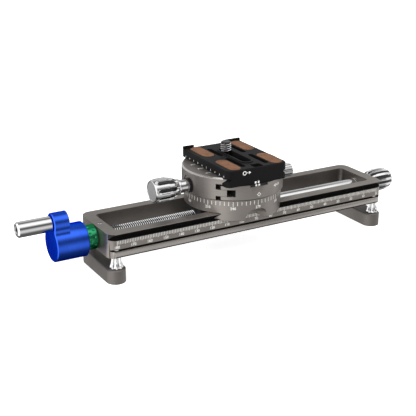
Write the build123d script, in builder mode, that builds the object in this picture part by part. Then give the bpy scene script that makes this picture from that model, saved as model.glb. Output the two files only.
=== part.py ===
from build123d import *
import os
from math import cos, radians, sin

# A macro focusing rail: a crank turns a lead screw, which carries a pan clamp along a scaled rail
# on two feet. X runs along the rail towards the end knob, Y to the back and Z up. The origin is at
# floor level, below the middle of the whole object. All sizes are in millimetres.

# --- Rail ---
rail_length = 190.0
rail_width = 41.6
rail_height = 14.2
rail_side_wall = 6.5  # from the window to the rail's outer side
rail_end_bar = 6.8  # from the window to the rail's end
rail_corner_radius = 5.5
window_corner_radius = 2.5
rail_edge = 0.15
groove_land = 0.3  # upright edge above the dovetail groove
groove_depth = 3.2
groove_slope_drop = 3.0
groove_root = 0.3
groove_floor_fall = 0.2  # the groove's floor falls this much on its way out
strip_height = 5.1  # the flat strip that carries the scale
undercut_height = 1.6
undercut_depth = 2.2
undercut_slope = 0.4
flange_inset = 0.2
flange_edge = 0.5
set_screw_radius = 1.4
set_screw_sink = 0.15
set_screw_place = 3.5  # from the rail's end

# --- Feet ---
foot_length = 43.6
foot_width = 11.2
foot_height = 8.3
foot_edge = 0.6
foot_inset = 5.1  # from the rail's end to the foot's middle
foot_gap = 6.9  # between the foot and the rail
nut_spacing = 35.0
nut_base_radius = 3.8
nut_waist_radius = 2.6
nut_collar_height = 1.2
nut_mid_swell = 0.3  # the nut's middle is this much wider than its waist
nut_flute_count = 8
nut_flute_radius = 0.7
foot_screw_radius = 2.0
foot_screw_grip = 5.0  # thread in the rail
foot_screw_head_radius = 3.5
foot_screw_head_height = 3.0
foot_counterbore_depth = 3.4

# --- Lead screw and its bushes ---
screw_radius = 4.0
screw_drop = 7.1  # from the rail's top to the screw's axis
journal_radius = 3.0
bush_radius = 4.6
end_bush_length = 3.5

# --- Crank ---
ring_radius = 7.0
ring_length = 6.4
ring_dimple_count = 10
ring_dimple_radius = 0.6
ring_dimple_depth = 0.7
hub_radius = 10.0
hub_length = 18.9
hub_bore_depth = 12.0
lobe_radius = 5.9
lobe_length = 8.8
lobe_waist_radius = 4.0
crank_edge = 0.5
crank_angle = 5.5  # degrees that the lobe leans to the front
handle_offset = 12.8
handle_radius = 4.4
handle_length = 19.4
handle_edge = 0.9
handle_recess_radius = 3.0
handle_recess_depth = 3.0
handle_screw_radius = 2.0
handle_screw_head_radius = 2.8
handle_screw_head_height = 2.4
handle_screw_grip = 6.0

# --- End knob ---
end_knob_radius = 7.4
end_knob_neck_radius = 3.9
end_knob_neck_length = 2.6
end_knob_flare = 3.4
end_knob_length = 22.6
end_knob_dome = 8.0
end_knob_tip_radius = 3.4
end_knob_flute_count = 12
end_knob_flute_radius = 1.3
end_knob_flute_depth = 0.8
end_knob_stem_gap = 0.3  # between the stem and the lead screw's journal

# --- Carriage base ---
carriage_offset = -4.8  # place along the rail, from its middle
base_radius = 29.1
base_height = 8.2  # above the rail's top
skirt_drop = 4.5  # below the rail's top
base_edge = 0.3
tongue_tip_gap = 0.4
sight_inner_width = 9.5
sight_inner_drop = 0.9  # top of the reading window's inner end, below the rail's top
sight_corner_radius = 2.4
sight_taper = 18.5  # degrees that the reading window opens outwards
sight_offset = -0.45
drive_nut_length = 15.0
drive_nut_width = 16.0
drive_nut_offset = -19.5  # from the pan axis: the screw's thread ends near the base's right edge
drive_nut_under = 13.4  # below the rail's top
drive_nut_edge = 1.0

# --- Pan pivot ---
pivot_radius = 7.0
pivot_foot = 0.6  # thickness of base left below the pivot
pan_bore_height = 5.5
retainer_radius = 8.6
retainer_thickness = 1.6
retainer_head_radius = 4.2
retainer_head_height = 1.1
retainer_screw_radius = 3.0
retainer_screw_length = 9.0
retainer_pocket_gap = 0.4

# --- Pan body and clamp ---
body_radius = 30.3
body_height = 13.5
body_edge = 0.8
channel_depth = 4.8
notch_width = 12.0
notch_height = 1.2
notch_depth = 5.3
notch_block_sink = 1.3
jaw_split = 23.0  # from the pan axis to the jaw's inner face
jaw_gap = 2.1  # between that face and the body
jaw_relief = 1.0  # the jaw's underside stands this far above the channel's floor
tongue_length = 4.8
tongue_thickness = 3.9
tongue_drop = 7.1  # below the body's top
tongue_end_gap = 4.2
guide_pin_radius = 1.5
guide_pin_spacing = 23.0
guide_pin_in_jaw = 3.0
guide_pin_in_body = 4.5
guide_pin_end_gap = 0.6

# --- Clamp knob, washer and pan lock knob ---
spot_face_radius = 6.2
spot_face_sink = 1.0
spot_face_place = body_radius - spot_face_sink  # from the pan axis to both spot faces
washer_radius = 4.4
washer_thickness = 1.0
clamp_screw_radius = 2.5
clamp_screw_tip = 9.4  # from the pan axis
clamp_neck_radius = 3.9
clamp_neck_length = 5.9
clamp_collar_radius = 4.7
clamp_collar_length = 0.9
clamp_taper_length = 4.6
clamp_knob_radius = 7.2
clamp_knob_length = 23.6
clamp_knob_rim_radius = 6.3
clamp_knob_rim = 1.8
clamp_face_radius = 5.7
clamp_face_sink = 0.3
clamp_flute_count = 8
clamp_flute_radius = 2.0
clamp_flute_depth = 1.2
lock_knob_radius = 4.35
lock_knob_length = 12.5
lock_neck_radius = 3.2
lock_neck_length = 2.0
lock_knob_edge = 0.7
lock_flute_count = 10
lock_flute_radius = 0.8
lock_flute_depth = 0.4

# --- Quick release plate ---
plate_width = 40.4
plate_length = 53.6
plate_place = -1.5  # the plate's middle, from the pan axis
plate_flange = 4.6
plate_neck_inset = 2.6
plate_neck_height = 0.9
plate_land = 1.7
plate_front_corner = 3.0
plate_back_corner = 1.0
plate_edge = 0.5
pad_length = 21.0
pad_width = 7.6
pad_thickness = 1.0
pad_proud = 0.25
pad_spacing_x = 28.2
pad_spacing_y = 30.2
pad_offset = 1.1  # the pads, side slots and front pocket lie this far right of the middle
side_slot_width = 3.2
side_slot_place = 7.8
back_slot_start = 2.0
back_slot_end = 18.5
front_slot_start = -3.0
front_slot_end = -22.5
screw_slot_front = -16.5
screw_slot_back = 14.5
screw_slot_floor = 2.8  # height of the wider slot underneath
rib_width = 1.2
rib_height = 0.5
front_pocket_length = 5.4
front_pocket_width = 6.4
front_pocket_depth = 3.0
front_pocket_rim = 0.7
lip_height = 1.5
lip_depth = 1.0
lip_left_width = 7.6
lip_right_width = 10.5

# --- Camera screw ---
camera_screw_radius = 3.175
camera_screw_reach = 6.3  # above the plate
camera_screw_place = 9.2  # behind the plate's middle
camera_screw_point = 0.6
camera_screw_neck = 0.7  # plain neck above the plate
camera_neck_radius = 2.8
camera_head_radius = 4.0
camera_head_height = 2.2

# --- Fits ---
running_gap = 0.05  # radial, between a turning shaft and its bore
fixed_gap = 0.02  # radial, between pieces that are fastened together
slide_gap = 0.12  # between flat faces that slide on each other
turn_gap = 0.3  # between faces that turn past each other
slot_gap = 0.2  # each side of the camera screw

# --- Heights ---
rail_bottom = foot_height + foot_gap
rail_top = rail_bottom + rail_height
screw_z = rail_top - screw_drop
base_top = rail_top + base_height
body_bottom = base_top + turn_gap
body_top = body_bottom + body_height
channel_floor = body_top - channel_depth
plate_bottom = channel_floor + slide_gap
plate_height = plate_flange + plate_neck_height + plate_neck_inset + plate_land
plate_top = plate_bottom + plate_height
tongue_top = body_top - tongue_drop
clamp_z = tongue_top - tongue_thickness / 2
pan_ledge = body_bottom + pan_bore_height
lock_z = body_bottom + pan_bore_height / 2

# --- Places along X: the middle of the object's whole length is at zero ---
crank_reach = turn_gap + ring_length + hub_length + turn_gap + handle_length
end_knob_reach = turn_gap + end_knob_length
rail_x = (crank_reach - end_knob_reach) / 2
rail_left = rail_x - rail_length / 2
rail_right = rail_x + rail_length / 2
window_left = rail_left + rail_end_bar
window_right = rail_right - rail_end_bar
carriage_x = rail_x + carriage_offset
ring_right = rail_left - turn_gap
hub_right = ring_right - ring_length
hub_left = hub_right - hub_length
handle_right = hub_left - turn_gap
handle_left = handle_right - handle_length
foot_left_x = rail_left + foot_inset
foot_right_x = rail_right - foot_inset
bush_bore_radius = bush_radius + fixed_gap
end_bush_right = window_right + end_bush_length
screw_shoulder_left = window_left + turn_gap
screw_shoulder_right = window_right - turn_gap
journal_right = end_bush_right - turn_gap

# The crank's handle stands off the screw's axis, leaning to the front by crank_angle.
handle_y = -handle_offset * sin(radians(crank_angle))
handle_z = screw_z + handle_offset * cos(radians(crank_angle))

screw_axis = Axis((0, 0, screw_z), (1, 0, 0))
handle_axis = Axis((0, handle_y, handle_z), (1, 0, 0))
clamp_axis = Axis((carriage_x, 0, clamp_z), (1, 0, 0))
lock_axis = Axis((carriage_x, 0, lock_z), (1, 0, 0))
pan_axis = Axis((carriage_x, 0, 0), (0, 0, 1))

# Planes that face along +X have Y as their first direction and Z as their second.
screw_section = Plane(origin=(0, 0, screw_z), x_dir=(1, 0, 0), z_dir=(0, -1, 0))
handle_section = Plane(origin=(0, handle_y, handle_z), x_dir=(1, 0, 0), z_dir=(0, -1, 0))
clamp_section = Plane(origin=(carriage_x, 0, clamp_z), x_dir=(1, 0, 0), z_dir=(0, -1, 0))
lock_section = Plane(origin=(carriage_x, 0, lock_z), x_dir=(1, 0, 0), z_dir=(0, -1, 0))
pan_section = Plane(origin=(carriage_x, 0, 0), x_dir=(1, 0, 0), z_dir=(0, -1, 0))
plate_section = Plane(origin=(carriage_x, plate_place, 0), x_dir=(1, 0, 0), z_dir=(0, -1, 0))

nut_corners = [
    ("nut_front_left", foot_left_x, -nut_spacing / 2),
    ("nut_back_left", foot_left_x, nut_spacing / 2),
    ("nut_front_right", foot_right_x, -nut_spacing / 2),
    ("nut_back_right", foot_right_x, nut_spacing / 2),
]
foot_screw_places = [(x, y) for _, x, y in nut_corners]


def facing_x(x, y=0.0, z=screw_z):
    """Plane that faces +X at x, centred on the axis at (y, z)."""
    return Plane(origin=(x, y, z), x_dir=(0, 1, 0), z_dir=(1, 0, 0))


def on_pan(z):
    """Level plane at height z, centred on the pan axis."""
    return Plane(origin=(carriage_x, 0, z))


def on_plate(z):
    """Level plane at height z, centred on the plate."""
    return Plane(origin=(carriage_x, plate_place, z))


def publish(part, name):
    """Label a finished piece and write it."""
    part.label = name
    export_step(part, f"parts/{name}.step")


os.makedirs("parts", exist_ok=True)

# Half of the rail's section, from the middle of its top out and down: (Y, height from the top).
rail_half = rail_width / 2
groove_root_y = rail_half - groove_depth
slope_end = groove_land + groove_slope_drop
root_end = slope_end + groove_root
strip_top = root_end + groove_floor_fall
strip_bottom = strip_top + strip_height
undercut_bottom = strip_bottom + undercut_height
rail_profile = [
    (0, 0),
    (rail_half, 0),
    (rail_half, -groove_land),
    (groove_root_y, -slope_end),
    (groove_root_y, -root_end),
    (rail_half, -strip_top),
    (rail_half, -strip_bottom),
    (rail_half - undercut_depth, -strip_bottom - undercut_slope),
    (rail_half - undercut_depth, -undercut_bottom + undercut_slope),
    (rail_half - flange_inset, -undercut_bottom),
    (rail_half - flange_inset, -rail_height + flange_edge),
    (rail_half - flange_inset - flange_edge, -rail_height),
    (0, -rail_height),
]

# Rail frame: the grooved bar, rounded at its corners, with the long window through it.
with BuildPart() as rail_frame:
    with BuildSketch(Plane(origin=(rail_x, 0, rail_top), x_dir=(0, 1, 0), z_dir=(1, 0, 0))):
        with BuildLine():
            Polyline(*rail_profile, close=True)
        make_face()
        mirror(about=Plane.YZ)
    extrude(amount=rail_length / 2, both=True)
    with BuildSketch(Plane(origin=(rail_x, 0, rail_bottom))):
        RectangleRounded(rail_length, rail_width, rail_corner_radius)
    extrude(amount=rail_height, mode=Mode.INTERSECT)
    window_length = rail_length - 2 * rail_end_bar
    window_width = rail_width - 2 * rail_side_wall
    with BuildSketch(Plane(origin=(rail_x, 0, rail_bottom))):
        RectangleRounded(window_length, window_width, window_corner_radius)
    extrude(amount=rail_height, mode=Mode.SUBTRACT)
    chamfer(rail_frame.edges().group_by(Axis.Z)[-1], rail_edge)
    with BuildSketch(facing_x(rail_left)):
        Circle(bush_bore_radius)
    extrude(amount=rail_end_bar, mode=Mode.SUBTRACT)
    with BuildSketch(facing_x(window_right)):
        Circle(bush_bore_radius)
    extrude(amount=end_bush_length, mode=Mode.SUBTRACT)
    with BuildSketch(facing_x(window_right)):
        Circle(journal_radius + running_gap)
    extrude(amount=rail_end_bar, mode=Mode.SUBTRACT)
    with BuildSketch(Plane(origin=(rail_left + set_screw_place, 0, screw_z + bush_radius))):
        Circle(set_screw_radius + fixed_gap)
    extrude(amount=screw_drop, mode=Mode.SUBTRACT)
    with BuildSketch(Plane.XY.offset(rail_bottom)):
        with Locations(*foot_screw_places):
            Circle(foot_screw_radius + fixed_gap)
    extrude(amount=foot_screw_grip + turn_gap, mode=Mode.SUBTRACT)
publish(rail_frame.part, "rail_frame")

# Set screw on top of the left end bar: it stands on the bush.
with BuildPart() as rail_set_screw:
    set_screw_bottom = screw_z + bush_bore_radius
    with BuildSketch(Plane(origin=(rail_left + set_screw_place, 0, set_screw_bottom))):
        Circle(set_screw_radius)
    extrude(amount=rail_top - set_screw_sink - set_screw_bottom)
    chamfer(rail_set_screw.edges().group_by(Axis.Z)[-1], set_screw_radius / 5)
publish(rail_set_screw.part, "rail_set_screw")

# Bushes in the two end bars: they carry the lead screw's journals.
with BuildPart() as bush_left:
    with BuildSketch(facing_x(rail_left)):
        Circle(bush_radius)
        Circle(journal_radius + running_gap, mode=Mode.SUBTRACT)
    extrude(amount=rail_end_bar)
publish(bush_left.part, "bush_left")

with BuildPart() as bush_right:
    with BuildSketch(facing_x(window_right)):
        Circle(bush_radius)
        Circle(journal_radius + running_gap, mode=Mode.SUBTRACT)
    extrude(amount=end_bush_length)
publish(bush_right.part, "bush_right")

# Feet: stadium-shaped bars across the rail, counterbored underneath for their screws.
for foot_name, foot_x in (("foot_left", foot_left_x), ("foot_right", foot_right_x)):
    with BuildPart() as foot:
        with BuildSketch(Plane(origin=(foot_x, 0, 0))):
            SlotOverall(foot_length, foot_width, rotation=90)
        extrude(amount=foot_height)
        chamfer(foot.edges().group_by(Axis.Z)[-1], foot_edge)
        with BuildSketch(Plane(origin=(foot_x, 0, 0))):
            with GridLocations(0, nut_spacing, 1, 2):
                Circle(foot_screw_radius + fixed_gap)
        extrude(amount=foot_height, mode=Mode.SUBTRACT)
        with BuildSketch(Plane(origin=(foot_x, 0, 0))):
            with GridLocations(0, nut_spacing, 1, 2):
                Circle(foot_screw_head_radius + fixed_gap)
        extrude(amount=foot_counterbore_depth, mode=Mode.SUBTRACT)
    publish(foot.part, foot_name)

# Foot screws: up through the foot and the flared nut into the rail.
with BuildPart() as foot_screws:
    with BuildSketch(Plane.XY.offset(foot_counterbore_depth)):
        with Locations(*foot_screw_places):
            Circle(foot_screw_head_radius)
    extrude(amount=-foot_screw_head_height)
    with BuildSketch(Plane.XY.offset(foot_counterbore_depth)):
        with Locations(*foot_screw_places):
            Circle(foot_screw_radius)
    extrude(amount=rail_bottom + foot_screw_grip - foot_counterbore_depth)
publish(foot_screws.part, "foot_screws")

# Flared nuts between the feet and the rail: a waisted trumpet shape with flutes round its flare.
for nut_name, nut_x, nut_y in nut_corners:
    nut_bottom = foot_height + slide_gap
    nut_top = rail_bottom - slide_gap
    nut_plane = Plane(origin=(nut_x, nut_y, nut_bottom), x_dir=(1, 0, 0), z_dir=(0, -1, 0))
    with BuildPart() as flared_nut:
        with BuildSketch(nut_plane):
            with BuildLine():
                base_side = Line((nut_base_radius, 0), (nut_base_radius, nut_collar_height))
                flare = Spline(
                    base_side @ 1,
                    (nut_waist_radius + nut_mid_swell, (nut_collar_height + nut_top - nut_bottom) / 2),
                    (nut_waist_radius, nut_top - nut_bottom),
                )
                Polyline(flare @ 1, (0, nut_top - nut_bottom), (0, 0), base_side @ 0)
            make_face()
        revolve(axis=Axis((nut_x, nut_y, 0), (0, 0, 1)))
        with BuildSketch(Plane(origin=(nut_x, nut_y, nut_bottom))):
            with PolarLocations(nut_base_radius, nut_flute_count):
                Circle(nut_flute_radius)
        extrude(amount=nut_top - nut_bottom, mode=Mode.SUBTRACT)
        with BuildSketch(Plane(origin=(nut_x, nut_y, nut_bottom))):
            Circle(foot_screw_radius + running_gap)
        extrude(amount=nut_top - nut_bottom, mode=Mode.SUBTRACT)
    publish(flared_nut.part, nut_name)

# Lead screw: full diameter between the end bars, with a journal at each end.
with BuildPart() as lead_screw:
    with BuildSketch(facing_x(screw_shoulder_left)):
        Circle(screw_radius)
    extrude(amount=screw_shoulder_right - screw_shoulder_left)
    with BuildSketch(facing_x(hub_right - hub_bore_depth)):
        Circle(journal_radius)
    extrude(amount=journal_right - hub_right + hub_bore_depth)
publish(lead_screw.part, "lead_screw")

# Crank: hub and lobe share their left face. The lobe runs into the hub through two hollow curves.
crank_lean = radians(crank_angle)
crank_face = Plane(
    origin=(hub_left, 0, screw_z),
    x_dir=(0, cos(crank_lean), sin(crank_lean)),
    z_dir=(1, 0, 0),
)
with BuildPart() as crank_arm:
    with BuildSketch(crank_face):
        Circle(hub_radius)
    extrude(amount=hub_length)
    chamfer(crank_arm.faces().sort_by(Axis.X)[-1].edges(), crank_edge)
    with BuildSketch(crank_face) as lobe_outline:
        Circle(hub_radius)
        with Locations((0, handle_offset)):
            Circle(lobe_radius)
        fillet(lobe_outline.vertices().sort_by(Axis.Y)[-2:], lobe_waist_radius)
    extrude(amount=lobe_length)
    chamfer(crank_arm.faces().sort_by(Axis.X)[0].edges(), crank_edge)
    with BuildSketch(facing_x(hub_right)):
        Circle(journal_radius + fixed_gap)
    extrude(amount=-hub_bore_depth, mode=Mode.SUBTRACT)
    with BuildSketch(facing_x(hub_left, handle_y, handle_z)):
        Circle(handle_screw_radius + fixed_gap)
    extrude(amount=handle_screw_grip, mode=Mode.SUBTRACT)
publish(crank_arm.part, "crank_arm")

# Ring between the crank and the rail, with a row of small dimples round it.
dimple_planes = []
for k in range(ring_dimple_count):
    turn = radians(360 * k / ring_dimple_count)
    outward = Vector(0, cos(turn), sin(turn))
    dimple_foot = Vector((hub_right + ring_right) / 2, 0, screw_z) + outward * ring_radius
    dimple_planes.append(Plane(origin=dimple_foot, x_dir=(1, 0, 0), z_dir=outward))
with BuildPart() as crank_ring:
    with BuildSketch(facing_x(hub_right)):
        Circle(ring_radius)
        Circle(journal_radius + fixed_gap, mode=Mode.SUBTRACT)
    extrude(amount=ring_length)
    chamfer(crank_ring.faces().sort_by(Axis.X)[-1].edges().sort_by(SortBy.LENGTH)[-1], crank_edge)
    with BuildSketch(*dimple_planes):
        Circle(ring_dimple_radius)
    extrude(amount=-ring_dimple_depth, mode=Mode.SUBTRACT)
publish(crank_ring.part, "crank_ring")

# Handle: a round bar that turns on its own screw, recessed at its outer end for the screw's head.
with BuildPart() as crank_handle:
    with BuildSketch(facing_x(handle_left, handle_y, handle_z)):
        Circle(handle_radius)
    extrude(amount=handle_length)
    chamfer(crank_handle.faces().sort_by(Axis.X)[0].edges(), handle_edge)
    chamfer(crank_handle.faces().sort_by(Axis.X)[-1].edges(), handle_edge / 3)
    with BuildSketch(facing_x(handle_left, handle_y, handle_z)):
        Circle(handle_screw_radius + running_gap)
    extrude(amount=handle_length, mode=Mode.SUBTRACT)
    with BuildSketch(facing_x(handle_left, handle_y, handle_z)):
        Circle(handle_recess_radius)
    extrude(amount=handle_recess_depth, mode=Mode.SUBTRACT)
publish(crank_handle.part, "crank_handle")

with BuildPart() as handle_screw:
    head_seat = handle_left + handle_recess_depth - slide_gap
    with BuildSketch(facing_x(head_seat, handle_y, handle_z)):
        Circle(handle_screw_head_radius)
    extrude(amount=-handle_screw_head_height)
    with BuildSketch(facing_x(head_seat, handle_y, handle_z)):
        Circle(handle_screw_radius)
    extrude(amount=hub_left + handle_screw_grip - head_seat)
    with BuildSketch(facing_x(head_seat - handle_screw_head_height, handle_y, handle_z)):
        RegularPolygon(handle_screw_radius * 0.75, 6)
    extrude(amount=handle_screw_head_height * 0.7, mode=Mode.SUBTRACT)
publish(handle_screw.part, "handle_screw")

# End knob: neck, flare, fluted barrel and dome, on a stem that screws into the rail's end.
end_knob_left = rail_right + turn_gap
end_knob_right = end_knob_left + end_knob_length
barrel_start = end_knob_left + end_knob_neck_length + end_knob_flare
dome_start = end_knob_right - end_knob_dome
with BuildPart() as end_knob:
    with BuildSketch(screw_section):
        with BuildLine():
            neck = Polyline(
                (end_knob_left, 0),
                (end_knob_left, end_knob_neck_radius),
                (end_knob_left + end_knob_neck_length, end_knob_neck_radius),
                (barrel_start, end_knob_radius - crank_edge),
                (barrel_start + end_knob_flare, end_knob_radius),
                (dome_start, end_knob_radius),
            )
            dome = Spline(
                neck @ 1,
                (end_knob_right, end_knob_tip_radius),
                tangents=[(1, 0), (0.35, -1)],
            )
            Polyline(dome @ 1, (end_knob_right, 0), neck @ 0)
        make_face()
    revolve(axis=screw_axis)
    flute_circle = end_knob_radius - end_knob_flute_depth + end_knob_flute_radius
    with BuildSketch(facing_x(end_knob_left + end_knob_neck_length)):
        with PolarLocations(flute_circle, end_knob_flute_count):
            Circle(end_knob_flute_radius)
    extrude(amount=end_knob_length, mode=Mode.SUBTRACT)
    with BuildSketch(facing_x(end_knob_left)):
        Circle(journal_radius)
    extrude(amount=end_bush_right + end_knob_stem_gap - end_knob_left)
publish(end_knob.part, "end_knob")

# Carriage base: a disc over the rail whose skirts carry the tongues that hook into the grooves.
skirt_z = rail_top - skirt_drop
channel_half = rail_half + slide_gap
tongue_root = -groove_land - slide_gap
tongue_tip_y = groove_root_y + tongue_tip_gap
tip_fall = groove_slope_drop * (groove_depth - tongue_tip_gap) / groove_depth
channel_profile = [
    (0, slide_gap),
    (channel_half, slide_gap),
    (channel_half, tongue_root),
    (tongue_tip_y, tongue_root - tip_fall),
    (tongue_tip_y, -root_end + slide_gap),
    (channel_half, -strip_top + slide_gap),
    (channel_half, -rail_height),
    (0, -rail_height),
]
sight_height = skirt_drop - sight_inner_drop
with BuildPart() as carriage_base:
    with BuildSketch(on_pan(skirt_z)):
        Circle(base_radius)
    extrude(amount=base_top - skirt_z)
    chamfer(carriage_base.edges().filter_by(GeomType.CIRCLE), base_edge)
    with BuildSketch(Plane(origin=(carriage_x, 0, rail_top), x_dir=(0, 1, 0), z_dir=(1, 0, 0))):
        with BuildLine():
            Polyline(*channel_profile, close=True)
        make_face()
        mirror(about=Plane.YZ)
    extrude(amount=base_radius + turn_gap, both=True, mode=Mode.SUBTRACT)
    sight_plane = Plane(
        origin=(carriage_x + sight_offset, -channel_half, skirt_z),
        x_dir=(1, 0, 0),
        z_dir=(0, -1, 0),
    )
    with BuildSketch(sight_plane):
        RectangleRounded(sight_inner_width, 2 * sight_height, sight_corner_radius)
    extrude(amount=base_radius, taper=-sight_taper, mode=Mode.SUBTRACT)
    with BuildSketch(on_pan(base_top)):
        Circle(pivot_radius + fixed_gap)
    extrude(amount=-(base_height - slide_gap - pivot_foot), mode=Mode.SUBTRACT)
publish(carriage_base.part, "carriage_base")

# Drive nut: a block under the left of the base, round the lead screw.
with BuildPart() as drive_nut:
    with BuildSketch(on_pan(rail_top - drive_nut_under)):
        with Locations((drive_nut_offset, 0)):
            Rectangle(drive_nut_length, drive_nut_width)
    extrude(amount=drive_nut_under + slide_gap)
    chamfer(drive_nut.edges().filter_by(Axis.Z), drive_nut_edge)
    with BuildSketch(facing_x(carriage_x + drive_nut_offset)):
        Circle(screw_radius + running_gap)
    extrude(amount=drive_nut_length, both=True, mode=Mode.SUBTRACT)
publish(drive_nut.part, "drive_nut")

# Pan pivot: the post that the pan body turns on, standing in the base.
pivot_bottom = rail_top + slide_gap + pivot_foot
pivot_top = pan_ledge + slide_gap
with BuildPart() as pan_pivot:
    with BuildSketch(on_pan(pivot_bottom)):
        Circle(pivot_radius)
    extrude(amount=pivot_top - pivot_bottom)
    with BuildSketch(on_pan(pivot_top)):
        Circle(retainer_screw_radius + fixed_gap)
    extrude(amount=-retainer_screw_length - turn_gap, mode=Mode.SUBTRACT)
publish(pan_pivot.part, "pan_pivot")

# Pivot retainer: flanged cap screw on the post that keeps the pan body down.
with BuildPart() as pivot_retainer:
    with BuildSketch(on_pan(pivot_top)):
        Circle(retainer_radius)
    extrude(amount=retainer_thickness)
    with BuildSketch(on_pan(pivot_top + retainer_thickness)):
        Circle(retainer_head_radius)
    extrude(amount=retainer_head_height)
    with BuildSketch(on_pan(pivot_top + retainer_thickness + retainer_head_height)):
        RegularPolygon(retainer_head_radius * 0.6, 6)
    extrude(amount=-retainer_thickness, mode=Mode.SUBTRACT)
    with BuildSketch(on_pan(pivot_top)):
        Circle(retainer_screw_radius)
    extrude(amount=-retainer_screw_length)
publish(pivot_retainer.part, "pivot_retainer")

# Sections of the clamp across X: the plate's dovetail, and the body and jaw cut to take it.
plate_half = plate_width / 2
neck_half = plate_half - plate_neck_inset
dovetail_low = plate_bottom + plate_land
dovetail_high = dovetail_low + plate_neck_inset
flange_under = dovetail_high + plate_neck_height
lip_half = neck_half + slide_gap
foot_half = plate_half + slide_gap
body_split = jaw_split - jaw_gap
tongue_end = jaw_split - tongue_length
slot_end = tongue_end - tongue_end_gap
tongue_bottom = tongue_top - tongue_thickness
outside = body_radius + washer_thickness
body_profile = [
    (outside, body_bottom),
    (outside, body_top),
    (lip_half, body_top),
    (lip_half, dovetail_high),
    (foot_half, dovetail_low),
    (foot_half, channel_floor),
    (-body_split, channel_floor),
    (-body_split, tongue_top + slide_gap),
    (-slot_end, tongue_top + slide_gap),
    (-slot_end, tongue_bottom - slide_gap),
    (-body_split, tongue_bottom - slide_gap),
    (-body_split, body_bottom),
]
jaw_profile = [
    (-outside, body_bottom),
    (-outside, body_top),
    (-lip_half, body_top),
    (-lip_half, dovetail_high),
    (-foot_half, dovetail_low),
    (-foot_half, channel_floor + jaw_relief),
    (-jaw_split, channel_floor + jaw_relief),
    (-jaw_split, tongue_top),
    (-tongue_end, tongue_top),
    (-tongue_end, tongue_bottom),
    (-jaw_split, tongue_bottom),
    (-jaw_split, body_bottom),
]
drum_profile = [
    (0, body_bottom),
    (body_radius - base_edge, body_bottom),
    (body_radius, body_bottom + base_edge),
    (body_radius, body_top - body_edge),
    (body_radius - body_edge, body_top),
    (0, body_top),
]
guide_pin_left = -jaw_split - guide_pin_in_jaw
guide_pin_right = -slot_end + guide_pin_in_body
clamp_plane = facing_x(carriage_x - spot_face_place, 0, clamp_z)
lock_plane = facing_x(carriage_x + spot_face_place, 0, lock_z)

# Pan body: the round body with the dovetail channel, its fixed jaw on the right.
with BuildPart() as pan_body:
    with BuildSketch(pan_section):
        with BuildLine():
            Polyline(*body_profile, close=True)
        make_face()
    extrude(amount=outside, both=True)
    with BuildSketch(pan_section):
        with BuildLine():
            Polyline(*drum_profile, close=True)
        make_face()
    revolve(axis=pan_axis, mode=Mode.INTERSECT)
    with BuildSketch(on_pan(body_bottom)):
        Circle(pivot_radius + running_gap)
    extrude(amount=body_height, mode=Mode.SUBTRACT)
    with BuildSketch(on_pan(pan_ledge)):
        Circle(retainer_radius + retainer_pocket_gap)
    extrude(amount=body_height, mode=Mode.SUBTRACT)
    with BuildSketch(facing_x(carriage_x - body_split, 0, clamp_z)):
        Circle(clamp_screw_radius + running_gap)
    extrude(amount=body_split - clamp_screw_tip + turn_gap, mode=Mode.SUBTRACT)
    with BuildSketch(facing_x(carriage_x - slot_end, 0, clamp_z)):
        with GridLocations(guide_pin_spacing, 0, 2, 1):
            Circle(guide_pin_radius + fixed_gap)
    extrude(amount=guide_pin_in_body, mode=Mode.SUBTRACT)
    with BuildSketch(lock_plane):
        Circle(spot_face_radius)
    extrude(amount=outside, mode=Mode.SUBTRACT)
    with BuildSketch(lock_plane):
        Circle(clamp_screw_radius + running_gap)
    extrude(amount=-spot_face_place, mode=Mode.SUBTRACT)
    notch_front = Plane(origin=(carriage_x, -body_radius, channel_floor - notch_height))
    with BuildSketch(notch_front):
        Rectangle(notch_width, 2 * notch_depth)
    extrude(amount=notch_height, mode=Mode.SUBTRACT)
publish(pan_body.part, "pan_body")

# Block in the pan body's front notch, set back from the rim.
with BuildPart() as notch_block:
    block_back = -body_radius + notch_depth - fixed_gap
    block_front = -body_radius + notch_block_sink
    block_plane = Plane(
        origin=(carriage_x, (block_back + block_front) / 2, channel_floor - notch_height + fixed_gap)
    )
    with BuildSketch(block_plane):
        Rectangle(notch_width - 2 * fixed_gap, block_back - block_front)
    extrude(amount=notch_height - 2 * fixed_gap)
publish(notch_block.part, "notch_block")

# Movable jaw: the left segment of the body, with a tongue that slides in the body's slot.
with BuildPart() as clamp_jaw:
    with BuildSketch(pan_section):
        with BuildLine():
            Polyline(*jaw_profile, close=True)
        make_face()
    extrude(amount=outside, both=True)
    with BuildSketch(pan_section):
        with BuildLine():
            Polyline(*drum_profile, close=True)
        make_face()
    revolve(axis=pan_axis, mode=Mode.INTERSECT)
    with BuildSketch(clamp_plane):
        Circle(spot_face_radius)
    extrude(amount=-outside, mode=Mode.SUBTRACT)
    with BuildSketch(clamp_plane):
        Circle(clamp_screw_radius + running_gap)
    extrude(amount=spot_face_place, mode=Mode.SUBTRACT)
    with BuildSketch(facing_x(carriage_x - tongue_end, 0, clamp_z)):
        with GridLocations(guide_pin_spacing, 0, 2, 1):
            Circle(guide_pin_radius + running_gap)
    extrude(
        amount=-(tongue_length + guide_pin_in_jaw + guide_pin_end_gap),
        mode=Mode.SUBTRACT,
    )
publish(clamp_jaw.part, "clamp_jaw")

# Guide pins: fixed in the body, they keep the jaw square as it slides.
with BuildPart() as jaw_guide_pins:
    with BuildSketch(facing_x(carriage_x + guide_pin_left, 0, clamp_z)):
        with GridLocations(guide_pin_spacing, 0, 2, 1):
            Circle(guide_pin_radius)
    extrude(amount=guide_pin_right - guide_pin_left)
publish(jaw_guide_pins.part, "jaw_guide_pins")

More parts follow.
